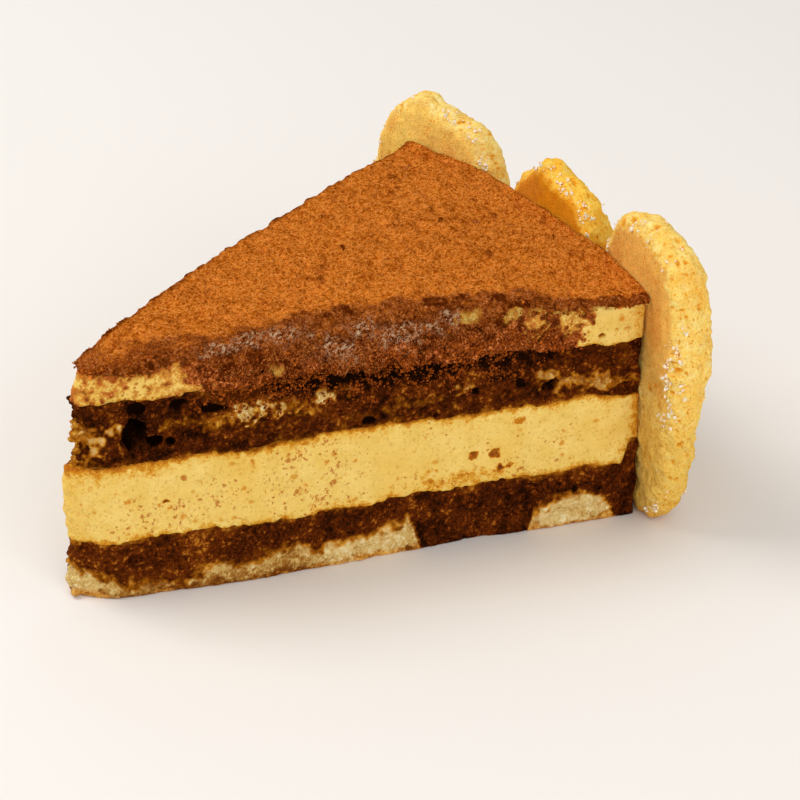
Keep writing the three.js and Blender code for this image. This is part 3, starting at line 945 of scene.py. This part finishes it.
def finger_form(name):
    """A grid of points on a finger, how far each lies inside the crust's edge, and its out and rim shares."""
    _, _, start, end, height, thickness, taper, seed, nubs = FINGERS[name]
    half_width = (end - start) / 2
    fine = np.linspace(0, 1, 2000)
    out, dome, rim = finger_section(fine)
    ring = even_steps(out * half_width, rim * RIM_HEIGHT + dome * (thickness - RIM_HEIGHT), FINGER_RINGS)
    out, dome, rim = (value[:, None] for value in finger_section(ring[1:-1]))
    across, up = finger_outline(fine * 2 * math.pi)
    around = even_steps(half_width * across, height / 2 * up, FINGER_AROUND[name] + 1)[:-1]
    across, up = finger_outline(2 * math.pi * around)
    up = (1 + out * up) / 2
    width = half_width * (1 - taper * fall(up, 0.1, 0.75))
    y = (end + start) / 2 + width * out * across
    z = height * up
    for at, nub_height, nub_width in nubs:
        z = z + nub_height * hump(y, at, nub_width) * rise(up, 0.88, 1)
    depth = thickness * (1 - FOOT_THINNING * fall(up, 0.05, 0.6))
    uneven = DOME_UNEVENNESS * ripple(z, y, 22, seed) + WAIST[name] * (0.3 * hump(z, 4, 6) - hump(z, 25, 12))
    half_across = np.hypot(width * across, height * (up - 0.5) / out)
    inset = half_across * (1 - out) * (1 - rim)  # on the flat side, how far inside its outline
    crust_inset = CRUST_INSETS[name] - 0.6 * rise(up, 0.8, 1)
    x = RIM_HEIGHT * rim + (depth - RIM_HEIGHT + uneven) * dome
    x = x + EDGE_ROUNDING * fall(inset, 0.8, crust_inset + 1) * (1 - rim)
    out, rim = (np.broadcast_to(value, x.shape).ravel() for value in (out, rim))
    return np.stack([x, y, z], axis=-1), (inset - crust_inset).ravel(), out, rim


def finger(name):
    """A finger, its points, their normals and how much sugar lies at each."""
    points, beyond_edge, out, rim = finger_form(name)
    normals = -grid_normals(points, True)
    flat = points.reshape(-1, 3)
    height = flat[:, 2]
    seed = 600 + 40 * list(FINGERS).index(name)
    ragged_edge = rough(flat, seed + 26, (0.6, 4), (0.5, 1.2), step=2)
    beyond_edge = beyond_edge + ragged_edge
    crust = rise(beyond_edge, -0.5, 0.6) * (1 - 0.85 * fall(height + 3 * ragged_edge, 28, 44))
    twisted = bent(flat, 0.6, 2.0, seed + 30)
    craters = balls(twisted, 2.4, 0.3, 0.85, 0.6, seed)
    pores = balls(twisted, 1.2, 0.25, 0.55, 0.7, seed + 10)
    lumps = rough(flat, seed + 20, (0.4, 7), (0.35, 2.2), (0.2, 0.9))
    on_dome = 0.3 + lumps - 0.9 * craters - 0.8 * pores
    on_crust = 0.12 * noise(flat, 6, seed + 23) - 0.25 * pores
    moved = points + normals * mix(on_dome, on_crust, crust).reshape(points.shape[:2])[..., None]
    moved[..., 0] += lean(moved[..., 2])
    moved[..., 2] = most(moved[..., 2], 0)
    masks = {
        "crust": crust,
        "pore": most(0.9 * craters, 1.3 * pores) * mix(1, 0.4, crust),
        "foot": fall(height + 1.5 * noise(flat, 4, seed + 25), 0, 8),
        "low": fall(height, 18, 46),
        "brown": rise(noise(flat, 6, seed + 24), 0.15, 1.1),
        "toast": np.full(len(flat), TOASTED[name]),
    }
    clustered = 0.3 + rise(noise(flat, 5, seed + 27), 0, 0.8)
    dense = 0.35 + 0.45 * rise(height, 44, 50) + 1.2 * plateau(height, 30, 36, 44, 52)
    on_edge = hump(beyond_edge, -0.9, SUGAR_SPREAD) * (1 - rim)
    sugared = (on_edge + STRAY_SUGAR * (out * rim)) * clustered * dense * rise(height, 1, 5)

    facing, reach, *_ = FINGERS[name]
    cos = math.cos(facing)
    sin = math.sin(facing)
    spin = np.array([[cos, sin, 0], [-sin, cos, 0], [0, 0, 1]])
    moved = (moved + np.array([reach + GAP, 0, 0])) @ spin
    rows, columns = points.shape[:2]
    all_points = [moved.reshape(-1, 3)]
    faces = [grid_faces(rows, columns, True)[:, ::-1]]
    crown = np.arange(columns)
    close(all_points, faces, crown, [])
    close(all_points, faces, (rows - 1) * columns + crown, [], -1)
    masks = {mask: np.append(values, values[[0, -1]]) for mask, values in masks.items()}
    return make_mesh("finger_" + name, all_points, faces, masks), moved, normals @ spin, sugared


# ---- Loose grains ----

# Clumps of loose cocoa: how many, the most grains in each, and the grains' smallest and largest size
ON_TOP = (900, 2, 0.1, 0.3)
ON_FRONT_EDGE = (500, 4, 0.12, 0.3)
ON_SMEAR = (700, 6, 0.12, 0.32)
FALLEN = (420, 8, 0.12, 0.32)
CLUMP_TONES = (0.85, 0.5, 0.5, 0.45)  # of these four, from dark to light
SUGAR_CLUMPS = (150, 6, 0.1, 0.4)  # on each finger, likewise
GRAIN_JITTER = 0.35  # unevenness of a grain, as a share of its size


def sphere_parts():
    """Points and triangles of an icosahedron."""
    golden = (1 + math.sqrt(5)) / 2
    corners = []
    for a in (-1, 1):
        for b in (-golden, golden):
            corners += [(0, a, b), (a, b, 0), (b, 0, a)]
    points = np.array(corners) / math.hypot(1, golden)
    faces = []
    for i in range(12):
        for j in range(i + 1, 12):
            for k in range(j + 1, 12):
                sides = [np.linalg.norm(points[p] - points[q]) for p, q in ((i, j), (j, k), (k, i))]
                if max(sides) < 1.2:
                    normal = np.cross(points[j] - points[i], points[k] - points[i])
                    faces.append((i, j, k) if normal @ points[i] > 0 else (i, k, j))
    return points, np.array(faces)


BALL_POINTS, BALL_FACES = sphere_parts()


def grains(name, groups, tones, seed):
    """Uneven grains as one mesh: an icosahedron each, its corners moved at random."""
    random = np.random.default_rng(seed)
    centres, sizes = (np.concatenate(values) for values in zip(*groups))
    count = len(centres)
    shape = BALL_POINTS[None] * (1 + GRAIN_JITTER * random.uniform(-1, 1, (count, 12, 1)))
    stretch = 1 + 0.5 * random.uniform(-1, 1, (count, 1, 3))
    points = centres[:, None] + shape * stretch * sizes[:, None, None]
    faces = (BALL_FACES[None] + 12 * np.arange(count)[:, None, None]).reshape(-1, 3)
    faces = np.concatenate([faces, faces[:, 2:]], axis=1)
    return make_mesh(name, [points.reshape(-1, 3)], [faces], {"tone": np.repeat(tones, 12)}, smooth=False)


def strewn(points, normals, chance, clumps, most_in_clump, small, large, seed):
    """Centres and sizes of grains lying in clumps on a surface, more where `chance` is high."""
    random = np.random.default_rng(seed)
    flat = points.reshape(-1, 3)
    weights = np.clip(chance, 0, None)
    spots = random.choice(len(flat), clumps, p=weights / weights.sum())
    spots = np.repeat(spots, random.integers(1, most_in_clump + 1, clumps))
    count = len(spots)
    sizes = mix(small, large, random.uniform(0, 1, count) ** 2)
    outward = normals.reshape(-1, 3)[spots]
    aside = random.uniform(-1, 1, (count, 3)) * (1 - 1 / most_in_clump) * 2.2 * large
    aside = aside - 0.8 * outward * np.sum(aside * outward, axis=1, keepdims=True)
    centres = flat[spots] + outward * 0.5 * sizes[:, None] + aside
    centres[:, 2] = most(centres[:, 2], sizes)
    return centres, sizes


def on_front_cut(points):
    """For each point: 1 on the front cut and 0 well inside, how far along the cut it is, and its height."""
    x, y, z = points.reshape(-1, 3).T
    return fall(x * SIN_HALF + y * COS_HALF, -1.0, 4.0), along_cut(x, y), z


def loose_cocoa(powder, top, upper):
    """Clumps of cocoa on the powder, in the smear on the front cut and fallen on the sponge below it."""
    front, _, _ = on_front_cut(powder[0])
    on_top = 0.3 + rise(noise(powder[0].reshape(-1, 3), 6, 801), 0, 1)
    top_front, along, height = on_front_cut(top[0])
    smeared = top_front * plateau(along, 26, 40, 100, 112) * rise(50 - height, -3, 2)
    upper_front, along, height = on_front_cut(upper[0])
    fallen = upper_front * plateau(along, 22, 36, 84, 106) * rise(height, 36, 44)
    groups = [
        strewn(*powder, on_top, *ON_TOP, 811),
        strewn(*powder, front, *ON_FRONT_EDGE, 812),
        strewn(*top, smeared, *ON_SMEAR, 813),
        strewn(*upper, fallen, *FALLEN, 814),
    ]
    tones = np.repeat(CLUMP_TONES, [len(sizes) for _, sizes in groups])
    tones = tones + 0.25 * np.random.default_rng(815).uniform(-1, 1, len(tones))
    return grains("cocoa_crumbs", groups, tones, 816)


def sugar_crystals(surfaces):
    """Sugar along the edge between each finger's flat side and its dome."""
    groups = [strewn(*surface, *SUGAR_CLUMPS, 820 + number) for number, surface in enumerate(surfaces)]
    count = sum(len(sizes) for _, sizes in groups)
    return grains("sugar_crystals", groups, np.random.default_rng(830).uniform(0.2, 1, count), 831)


# ---- Materials ----


def colour(*shade):
    """Red, green, blue and alpha of a grey or of a colour as it looks, from 0 to 255; four numbers stay."""
    if len(shade) == 1:
        return shade * 3 + (1.0,)
    if len(shade) == 4:
        return shade
    shares = [value / 255 for value in shade]
    return tuple(s / 12.92 if s <= 0.04045 else ((s + 0.055) / 1.055) ** 2.4 for s in shares) + (1.0,)


def add_node(tree, kind, output, inputs, **settings):
    """Adds a node with these inputs (Values, numbers, vectors or colours) and gives an output's Value."""
    node = tree.nodes.new(kind)
    for key, setting in settings.items():
        setattr(node, key, setting)
    for key, given in inputs.items():
        socket = node.inputs[key]
        if isinstance(given, Value):
            tree.links.new(given.socket, socket)
        else:
            socket.default_value = colour(*given) if socket.type == "RGBA" else given
    return Value(node.outputs[output])


class Value:
    """A node's output. Sums with it, and its calls, add the nodes that work them out."""

    def __init__(self, socket):
        self.socket = socket
        self.tree = socket.id_data

    def other(self, output):
        """Another output of the same node."""
        return Value(self.socket.node.outputs[output])

    def math(self, operation, second):
        return add_node(self.tree, "ShaderNodeMath", 0, {0: self, 1: second}, operation=operation)

    def __add__(self, second):
        return self.math("ADD", second)

    def __sub__(self, second):
        return self.math("SUBTRACT", second)

    def __mul__(self, second):
        return self.math("MULTIPLY", second)

    def __truediv__(self, second):
        return self.math("DIVIDE", second)

    def around(self, height):
        """A noise's unevenness about 0, `height` from its usual lowest to its usual highest."""
        return (self - 0.5) * (2 * height)

    def ramp(self, *stops):
        """A colour ramp; a stop is a position followed by a grey or by a colour's numbers."""
        ramped = add_node(self.tree, "ShaderNodeValToRGB", "Color", {"Fac": self})
        elements = ramped.socket.node.color_ramp.elements
        while len(elements) < len(stops):
            elements.new(0.5)
        for element, (position, *shade) in zip(elements, stops):
            element.position = position
            element.color = colour(*shade)
        return ramped

    def between(self, start, end):
        """0 up to `start`, 1 from `end` on, straight between."""
        return self.ramp((start, 0.0), (end, 1.0))

    def blend(self, first, second):
        """`first` where this is 0, `second` where it is 1."""
        inputs = {0: self, 6: first, 7: second}
        return add_node(self.tree, "ShaderNodeMix", 2, inputs, data_type="RGBA")

    def tinted(self, factor):
        """This colour, multiplied by another."""
        inputs = {0: 1.0, 6: self, 7: factor}
        return add_node(self.tree, "ShaderNodeMix", 2, inputs, data_type="RGBA", blend_type="MULTIPLY")


class Shader:
    """A material, with short calls for the nodes that its Values start from. Sizes are in millimetres."""

    def __init__(self, name):
        self.material = bpy.data.materials.new(name)
        self.material.use_nodes = True
        self.tree = self.material.node_tree
        self.tree.nodes.clear()
        self.place = self.add("TexCoord", "Object", {})

    def add(self, kind, output, inputs, **settings):
        return add_node(self.tree, "ShaderNode" + kind, output, inputs, **settings)

    def vector(self, operation, *inputs, output=0):
        return self.add("VectorMath", output, dict(enumerate(inputs)), operation=operation)

    def mask(self, name):
        return self.add("Attribute", "Fac", {}, attribute_name=name)

    def noise(self, size, detail=2.0, roughness=0.5, place=None):
        inputs = {"Vector": place or self.place, "Scale": 1 / (size * MM)}
        return self.add("TexNoise", "Fac", inputs | {"Detail": detail, "Roughness": roughness})

    def drawn_out(self, direction, times):
        """The place, squeezed along a unit direction, so that a noise there is drawn out that many times."""
        reach = self.vector("DOT_PRODUCT", self.place, direction, output="Value")
        moved = self.vector("MULTIPLY", direction, reach * (1 / times - 1))
        return self.vector("ADD", self.place, moved)

    def specks(self, size, density):
        """1 inside irregular specks, from almost none at density 0 to a fifth of the surface at 0.6."""
        return (self.noise(size, 2.0, 0.6) + density * 0.24).between(0.7, 0.77)

    def dots(self, pitch, radius, share):
        """1 inside small uneven dots, one in each cell about `pitch` wide, in `share` of the cells."""
        wobble = self.add("TexNoise", "Color", {"Vector": self.place, "Scale": 0.8 / (radius * MM)})
        wobble = self.vector("SUBTRACT", wobble, (0.5,) * 3)
        moved = self.vector("MULTIPLY_ADD", wobble, (1.6 * radius * MM,) * 3, self.place)
        away = self.add("TexVoronoi", "Distance", {"Vector": moved, "Scale": 1 / (pitch * MM)})
        draw = self.add("SeparateColor", 0, {"Color": away.other("Color")})
        size = draw.other(1) * 0.7 + 0.45
        inside = (away / size).ramp((0.5 * radius / pitch, 1.0), (radius / pitch, 0.0))
        return inside * draw.math("LESS_THAN", share)

    def bump(self, height, depth, strength=1.0):
        return self.add("Bump", "Normal", {"Height": height, "Distance": depth * MM, "Strength": strength})

    def finish(self, base, roughness, normal, **constants):
        """The finished material. The constants are more of the surface's inputs, with _ for a space."""
        inputs = {"Base Color": base, "Roughness": roughness, "Normal": normal}
        inputs |= {key.replace("_", " "): constant for key, constant in constants.items()}
        surface = self.add("BsdfPrincipled", "BSDF", inputs)
        output = self.tree.nodes.new("ShaderNodeOutputMaterial")
        self.tree.links.new(surface.socket, output.inputs["Surface"])
        return self.material


def sponge_material():
    shader = Shader("soaked_sponge")
    grit = shader.noise(0.35, 3.0, 0.6)
    soak = shader.mask("soak") + grit.around(0.4) + shader.noise(3.0, 4.0, 0.65).around(0.4)
    # Its shading mask paints shade in the pores and light on the grains, with random patches and grit
    tone = shader.mask("tone") + (grit.around(0.6) + shader.noise(0.9, 3.0, 0.6).around(0.4))
    pale = tone.ramp((0.0, 156, 98, 34), (0.3, 206, 166, 90), (0.6, 228, 200, 134), (0.95, 246, 228, 178))
    golden = tone.ramp((0.1, 106, 48, 4), (0.45, 184, 110, 16), (0.9, 232, 172, 62))
    dark = tone.ramp((0.0, 24, 8, 1), (0.35, 76, 30, 5), (0.65, 116, 52, 8), (1.0, 190, 118, 34))
    crumbs = soak.between(0.4, 0.8).blend(soak.between(0.1, 0.38).blend(pale, golden), dark)
    skin = shader.mask("skin") * soak.ramp((0.4, 0.85), (0.7, 0.0))
    return shader.finish(skin.blend(crumbs, golden), 0.9, shader.bump(grit, 0.35), Specular_IOR_Level=0.02)


STREAKS = (0.72, -0.26, 0.64)  # the direction in which cocoa was dragged over the front cut
HEAP_SIZE = 0.9  # of the small heaps in the powder

# Painted shade and light that the powder's colour is multiplied by, in red, green and blue: in the hollows and
# on the crests of its small heaps, and in its deep and low spots
HOLLOW_SHADE = (0.66, 0.53, 0.24, 1.0)
CREST_LIGHT = (1.12, 1.2, 1.6, 1.0)
DEEP_SHADE = (0.26, 0.17, 0.08, 1.0)
LOW_SHADE = (0.72, 0.63, 0.5, 1.0)


def powder_colour(shader, grit):
    """Cocoa powder: orange-brown on top, darker and redder down the cuts, partly the dragged powder and partly
    painted shade, with painted silvery sheen.
    """
    dry = grit.ramp((0.34, 212, 114, 28), (0.5, 231, 132, 43), (0.66, 242, 146, 60))
    # Painted shade in the hollows of the small heaps and painted light on their crests
    dry = dry.tinted(shader.noise(HEAP_SIZE).ramp((0.34, *HOLLOW_SHADE), (0.5, 1.0), (0.64, *CREST_LIGHT)))
    dark = grit.ramp((0.34, 78, 30, 6), (0.5, 164, 80, 28), (0.66, 226, 142, 78))
    shade = shader.mask("shade") + (shader.noise(0.8).around(0.45) + grit.around(0.8))
    # Painted shade in the pits, dents and gaps, and painted light on the lumps and grains
    tone = shader.mask("tone") + grit.around(0.25)
    light = tone.ramp((0.0, *DEEP_SHADE), (0.3, *LOW_SHADE), (0.5, 1.0), (1.0, 1.2))
    powder = shade.between(0.24, 0.66).blend(dry, dark).tinted(light)
    # Painted sheen: whitish glints in streaks along the drag
    streaks = shader.noise(0.7, 5.0, 0.8, shader.drawn_out(STREAKS, 1.3))
    glints = streaks.between(0.48, 0.57) * shader.mask("painted_sheen")
    return (glints * 0.9).blend(powder, glints.ramp((0.1, 208, 128, 72), (0.8, 236, 196, 156)))


def powdered(shader, clean, grit):
    """Powder over the `clean` colour, golden where it only dusts it, and the share that it covers."""
    cover = shader.mask("cover") + (shader.noise(1.3, 3.0, 0.6).around(0.4) + grit.around(0.6))
    dusted = cover.between(0.1, 0.4).blend(clean, (208, 142, 50))
    covered = cover.between(0.42, 0.76)
    return covered.blend(dusted, powder_colour(shader, grit)), covered


def cream_base(shader):
    """Clean cream, faintly clouded."""
    cream = shader.noise(4.0, 4.0).ramp((0.3, 232, 195, 98), (0.7, 241, 209, 120))
    return cream.tinted(shader.noise(0.7).ramp((0.3, 0.95), (0.7, 1.03)))


def cream_material():
    shader = Shader("mascarpone_cream")
    cream = (shader.mask("warm") * 0.3).blend(cream_base(shader), (228, 176, 54))
    grit = shader.noise(0.45, 3.0, 0.65)
    stain_and_shade = shader.mask("stain_and_shade") + (grit.around(0.35) + shader.noise(1.2, 3.0).around(0.3))
    stain_and_shade_colour = stain_and_shade.ramp((0.15, 236, 194, 92), (0.4, 218, 156, 40), (0.65, 180, 100, 14), (0.95, 96, 42, 6))
    cream = stain_and_shade.between(0.15, 0.45).blend(cream, stain_and_shade_colour)
    # Bubbles and tiny dots are tinted amber: painted shade in their pits
    tiny = shader.dots(0.95, 0.36, 0.4)
    bubbles = shader.mask("bubble").math("MAXIMUM", tiny * 0.6)
    cream = (bubbles * 0.7).blend(cream, (214, 150, 34))
    density = shader.mask("specks")
    amber = shader.dots(2.1, 0.85, density * 0.9)
    brown = shader.dots(1.1, 0.42, density * 0.65).math("MAXIMUM", shader.dots(2.5, 0.75, density))
    brown = brown.math("MAXIMUM", shader.specks(1.0, density))
    cream = (brown * 0.8).blend((amber * 0.85).blend(cream, (210, 132, 18)), (178, 92, 4))
    cream, covered = powdered(shader, cream, grit)
    return shader.finish(
        cream, covered.ramp((0.0, 0.6), (1.0, 1.0)), shader.bump(grit - tiny * 0.6, 0.15),
        Specular_IOR_Level=0.06, Subsurface_Weight=0.25, Subsurface_Radius=(0.0030, 0.0018, 0.0008),
        Subsurface_Scale=1.0,
    )


def cocoa_material():
    shader = Shader("cocoa")
    grit = shader.noise(0.45, 3.0, 0.65)
    powder, _ = powdered(shader, cream_base(shader), grit)
    normal = shader.bump(grit + shader.noise(HEAP_SIZE) * 2.0, 0.75)
    return shader.finish(powder, 1.0, normal, Specular_IOR_Level=0.0)


def finger_material():
    shader = Shader("finger_biscuit")
    cloud = shader.noise(2.2, 3.0, 0.6)
    fine = shader.noise(0.45, 3.0, 0.6)
    toast = shader.mask("toast")
    pale = cloud.ramp((0.3, 250, 204, 98), (0.55, 254, 222, 130), (0.75, 255, 238, 170))
    toasted = cloud.ramp((0.3, 250, 180, 44), (0.55, 254, 204, 80), (0.75, 255, 222, 120))
    flat = toast.ramp((0.0, 254, 210, 106), (0.3, 248, 188, 90), (1.0, 228, 146, 20))
    flat = flat.tinted(cloud.ramp((0.3, 0.85), (0.7, 1.1)))
    brown = shader.mask("brown") * 0.45
    dome = brown.blend(toast.blend(pale, toasted), (244, 176, 52))
    dome = (shader.mask("low") * 0.65).blend(dome, (230, 188, 84))
    biscuit = shader.mask("crust").blend(dome, brown.blend(flat, (212, 126, 48)))
    biscuit = (shader.mask("foot") * 0.7).blend(biscuit, (204, 124, 38))
    # Pores, craters and tiny dots are tinted darker amber: painted shade in them
    pores = shader.mask("pore").math("MAXIMUM", shader.dots(0.8, 0.32, 0.5) * 0.4)
    biscuit = biscuit.tinted(pores.ramp((0.05, 1.02), (0.35, 246, 208, 124), (0.8, 232, 166, 60)))
    biscuit = biscuit.tinted(fine.ramp((0.32, 0.82, 0.72, 0.5, 1.0), (0.5, 0.97), (0.68, 1.06)))
    return shader.finish(
        biscuit, 0.9, shader.bump(fine, 0.35), Specular_IOR_Level=0.1, Subsurface_Weight=0.15,
        Subsurface_Radius=(0.002, 0.0012, 0.0005), Subsurface_Scale=1.0,
    )


def crumb_material():
    shader = Shader("cocoa_crumb")
    crumbs = shader.mask("tone").ramp((0.0, 84, 34, 6), (0.6, 160, 78, 22), (1.0, 200, 108, 32))
    crumbs = crumbs.tinted(shader.noise(0.4).ramp((0.3, 0.75), (0.7, 1.2)))
    return shader.finish(crumbs, 1.0, shader.bump(shader.noise(0.3), 0.1), Specular_IOR_Level=0.02)


def sugar_material():
    shader = Shader("sugar")
    sugar = shader.mask("tone").ramp((0.0, 240, 208, 156), (0.6, 246, 232, 212))
    normal = shader.bump(shader.noise(0.3, 1.0), 0.05)
    return shader.finish(sugar, 0.35, normal, Subsurface_Weight=0.2, Subsurface_Scale=0.001)


# ---- Camera, floor and light ----

LENS = 126.0  # on a 36 mm sensor
CAMERA_TURN = math.radians(53.23)  # of its view in plan, from +X
CAMERA_PITCH = math.radians(31.5)
CAMERA_ROLL = math.radians(2.0)
CAMERA_DISTANCE = 0.65247
LOOK_AT = np.array([102.78, 24.6, 0.0])  # where the middle of the view meets the floor

FLOOR_SIZE = 6  # in metres
LIT_POINT = Vector((0, 0, 0.03))  # that both lamps shine at

# Lamps: power in watts, side in metres, place in millimetres from the slice's middle, colour
KEY = (4.8, 0.5, (-400, 420, 800), (1.0, 0.985, 0.96))
FILL = (3.6, 0.9, (-150, -850, 420), (1.0, 0.985, 0.97))
SKY_COLOUR = (1.0, 0.985, 0.965, 1.0)
SKY_STRENGTH = 0.61


def camera():
    data = bpy.data.cameras.new("camera")
    data.lens = LENS
    data.sensor_width = 36.0
    data.clip_end = 20
    made = linked("camera", data)
    level = math.cos(CAMERA_PITCH)
    forward = Vector((math.cos(CAMERA_TURN) * level, math.sin(CAMERA_TURN) * level, -math.sin(CAMERA_PITCH)))
    turn = forward.to_track_quat("-Z", "Y").to_matrix() @ Matrix.Rotation(CAMERA_ROLL, 3, "Z")
    at = Vector(placed(LOOK_AT)) - forward * CAMERA_DISTANCE
    made.matrix_world = Matrix.Translation(at) @ turn.to_4x4()
    bpy.context.scene.camera = made


def floor():
    bpy.ops.mesh.primitive_plane_add(size=FLOOR_SIZE)
    made = bpy.context.object
    made.name = "floor"
    shader = Shader("floor")
    normal = shader.bump(shader.noise(40, 1.0), 0.05, 0.1)
    made.data.materials.append(shader.finish((240, 236, 232), 0.6, normal, Specular_IOR_Level=0.2))


def area_light(name, power, side, place, light):
    data = bpy.data.lights.new(name, "AREA")
    data.energy = power
    data.size = side
    data.color = light
    made = linked(name, data)
    made.location = Vector(place) * MM
    made.rotation_euler = (LIT_POINT - made.location).to_track_quat("-Z", "Y").to_euler()


def lights():
    world = bpy.data.worlds.new("studio")
    bpy.context.scene.world = world
    world.use_nodes = True
    sky = world.node_tree.nodes["Background"]
    sky.inputs["Color"].default_value = SKY_COLOUR
    sky.inputs["Strength"].default_value = SKY_STRENGTH
    area_light("key", *KEY)
    area_light("fill", *FILL)


def colour_management():
    view = bpy.context.scene.view_settings
    view.view_transform = "Standard"
    view.look = "None"


# ---- Everything together ----

# The layers, from the bottom: piece, slot, node, broad relief, tip, fine relief, and rounding of the edges
LAYERS = (
    ("base_sponge", "soaked_sponge", "sponge_base", base_relief, torn_tip(1.0, 0.8, 0.4), base_detail, 0.3),
    ("middle_cream", "mascarpone_cream", "cream_middle", cream_relief(0.35, 2.2), cream_middle_tip,
     middle_detail, 0.5),
    ("upper_sponge", "soaked_sponge", "sponge_upper", upper_relief, torn_tip(2.8, 0.9, 1.8),
     upper_detail, 0.3),
    ("top_cream", "mascarpone_cream", "cream_top", cream_top_relief, cream_top_tip, top_detail, 0.5),
)
JOINS = (base_top, cream_middle_top, sponge_upper_top)  # the faces between them


def dress(piece, material, slot, *nodes):
    piece.data.materials.append(material)
    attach(piece, "root")
    if nodes:
        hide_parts(*nodes)


def build():
    materials = {"soaked_sponge": sponge_material(), "mascarpone_cream": cream_material()}
    surfaces = {}
    bottoms = [floor_level, *(ragged(face, GAP / 2 - OVERLAP) for face in JOINS)]
    tops = [*(ragged(face, GAP / 2 + OVERLAP) for face in JOINS), cream_top_top]
    for (name, slot, node, relief, tip_set, detail, rounding), bottom, top in zip(LAYERS, bottoms, tops):
        piece, *surfaces[name] = layer(name, bottom, top, relief, tip_set, detail, rounding)
        dress(piece, materials[slot], slot, node)

    powder, *powder_surface = cocoa_top()
    dress(powder, cocoa_material(), "cocoa", "cocoa_powder")
    crumbs = loose_cocoa(powder_surface, surfaces["top_cream"], surfaces["upper_sponge"])
    dress(crumbs, crumb_material(), "cocoa")

    biscuit = finger_material()
    sugared = []
    for name in FINGERS:
        piece, *surface = finger(name)
        dress(piece, biscuit, "finger_biscuit", "ladyfinger_" + name)
        sugared.append(surface)
    dress(sugar_crystals(sugared), sugar_material(), "finger_biscuit")


camera()
floor()
lights()
colour_management()
build()
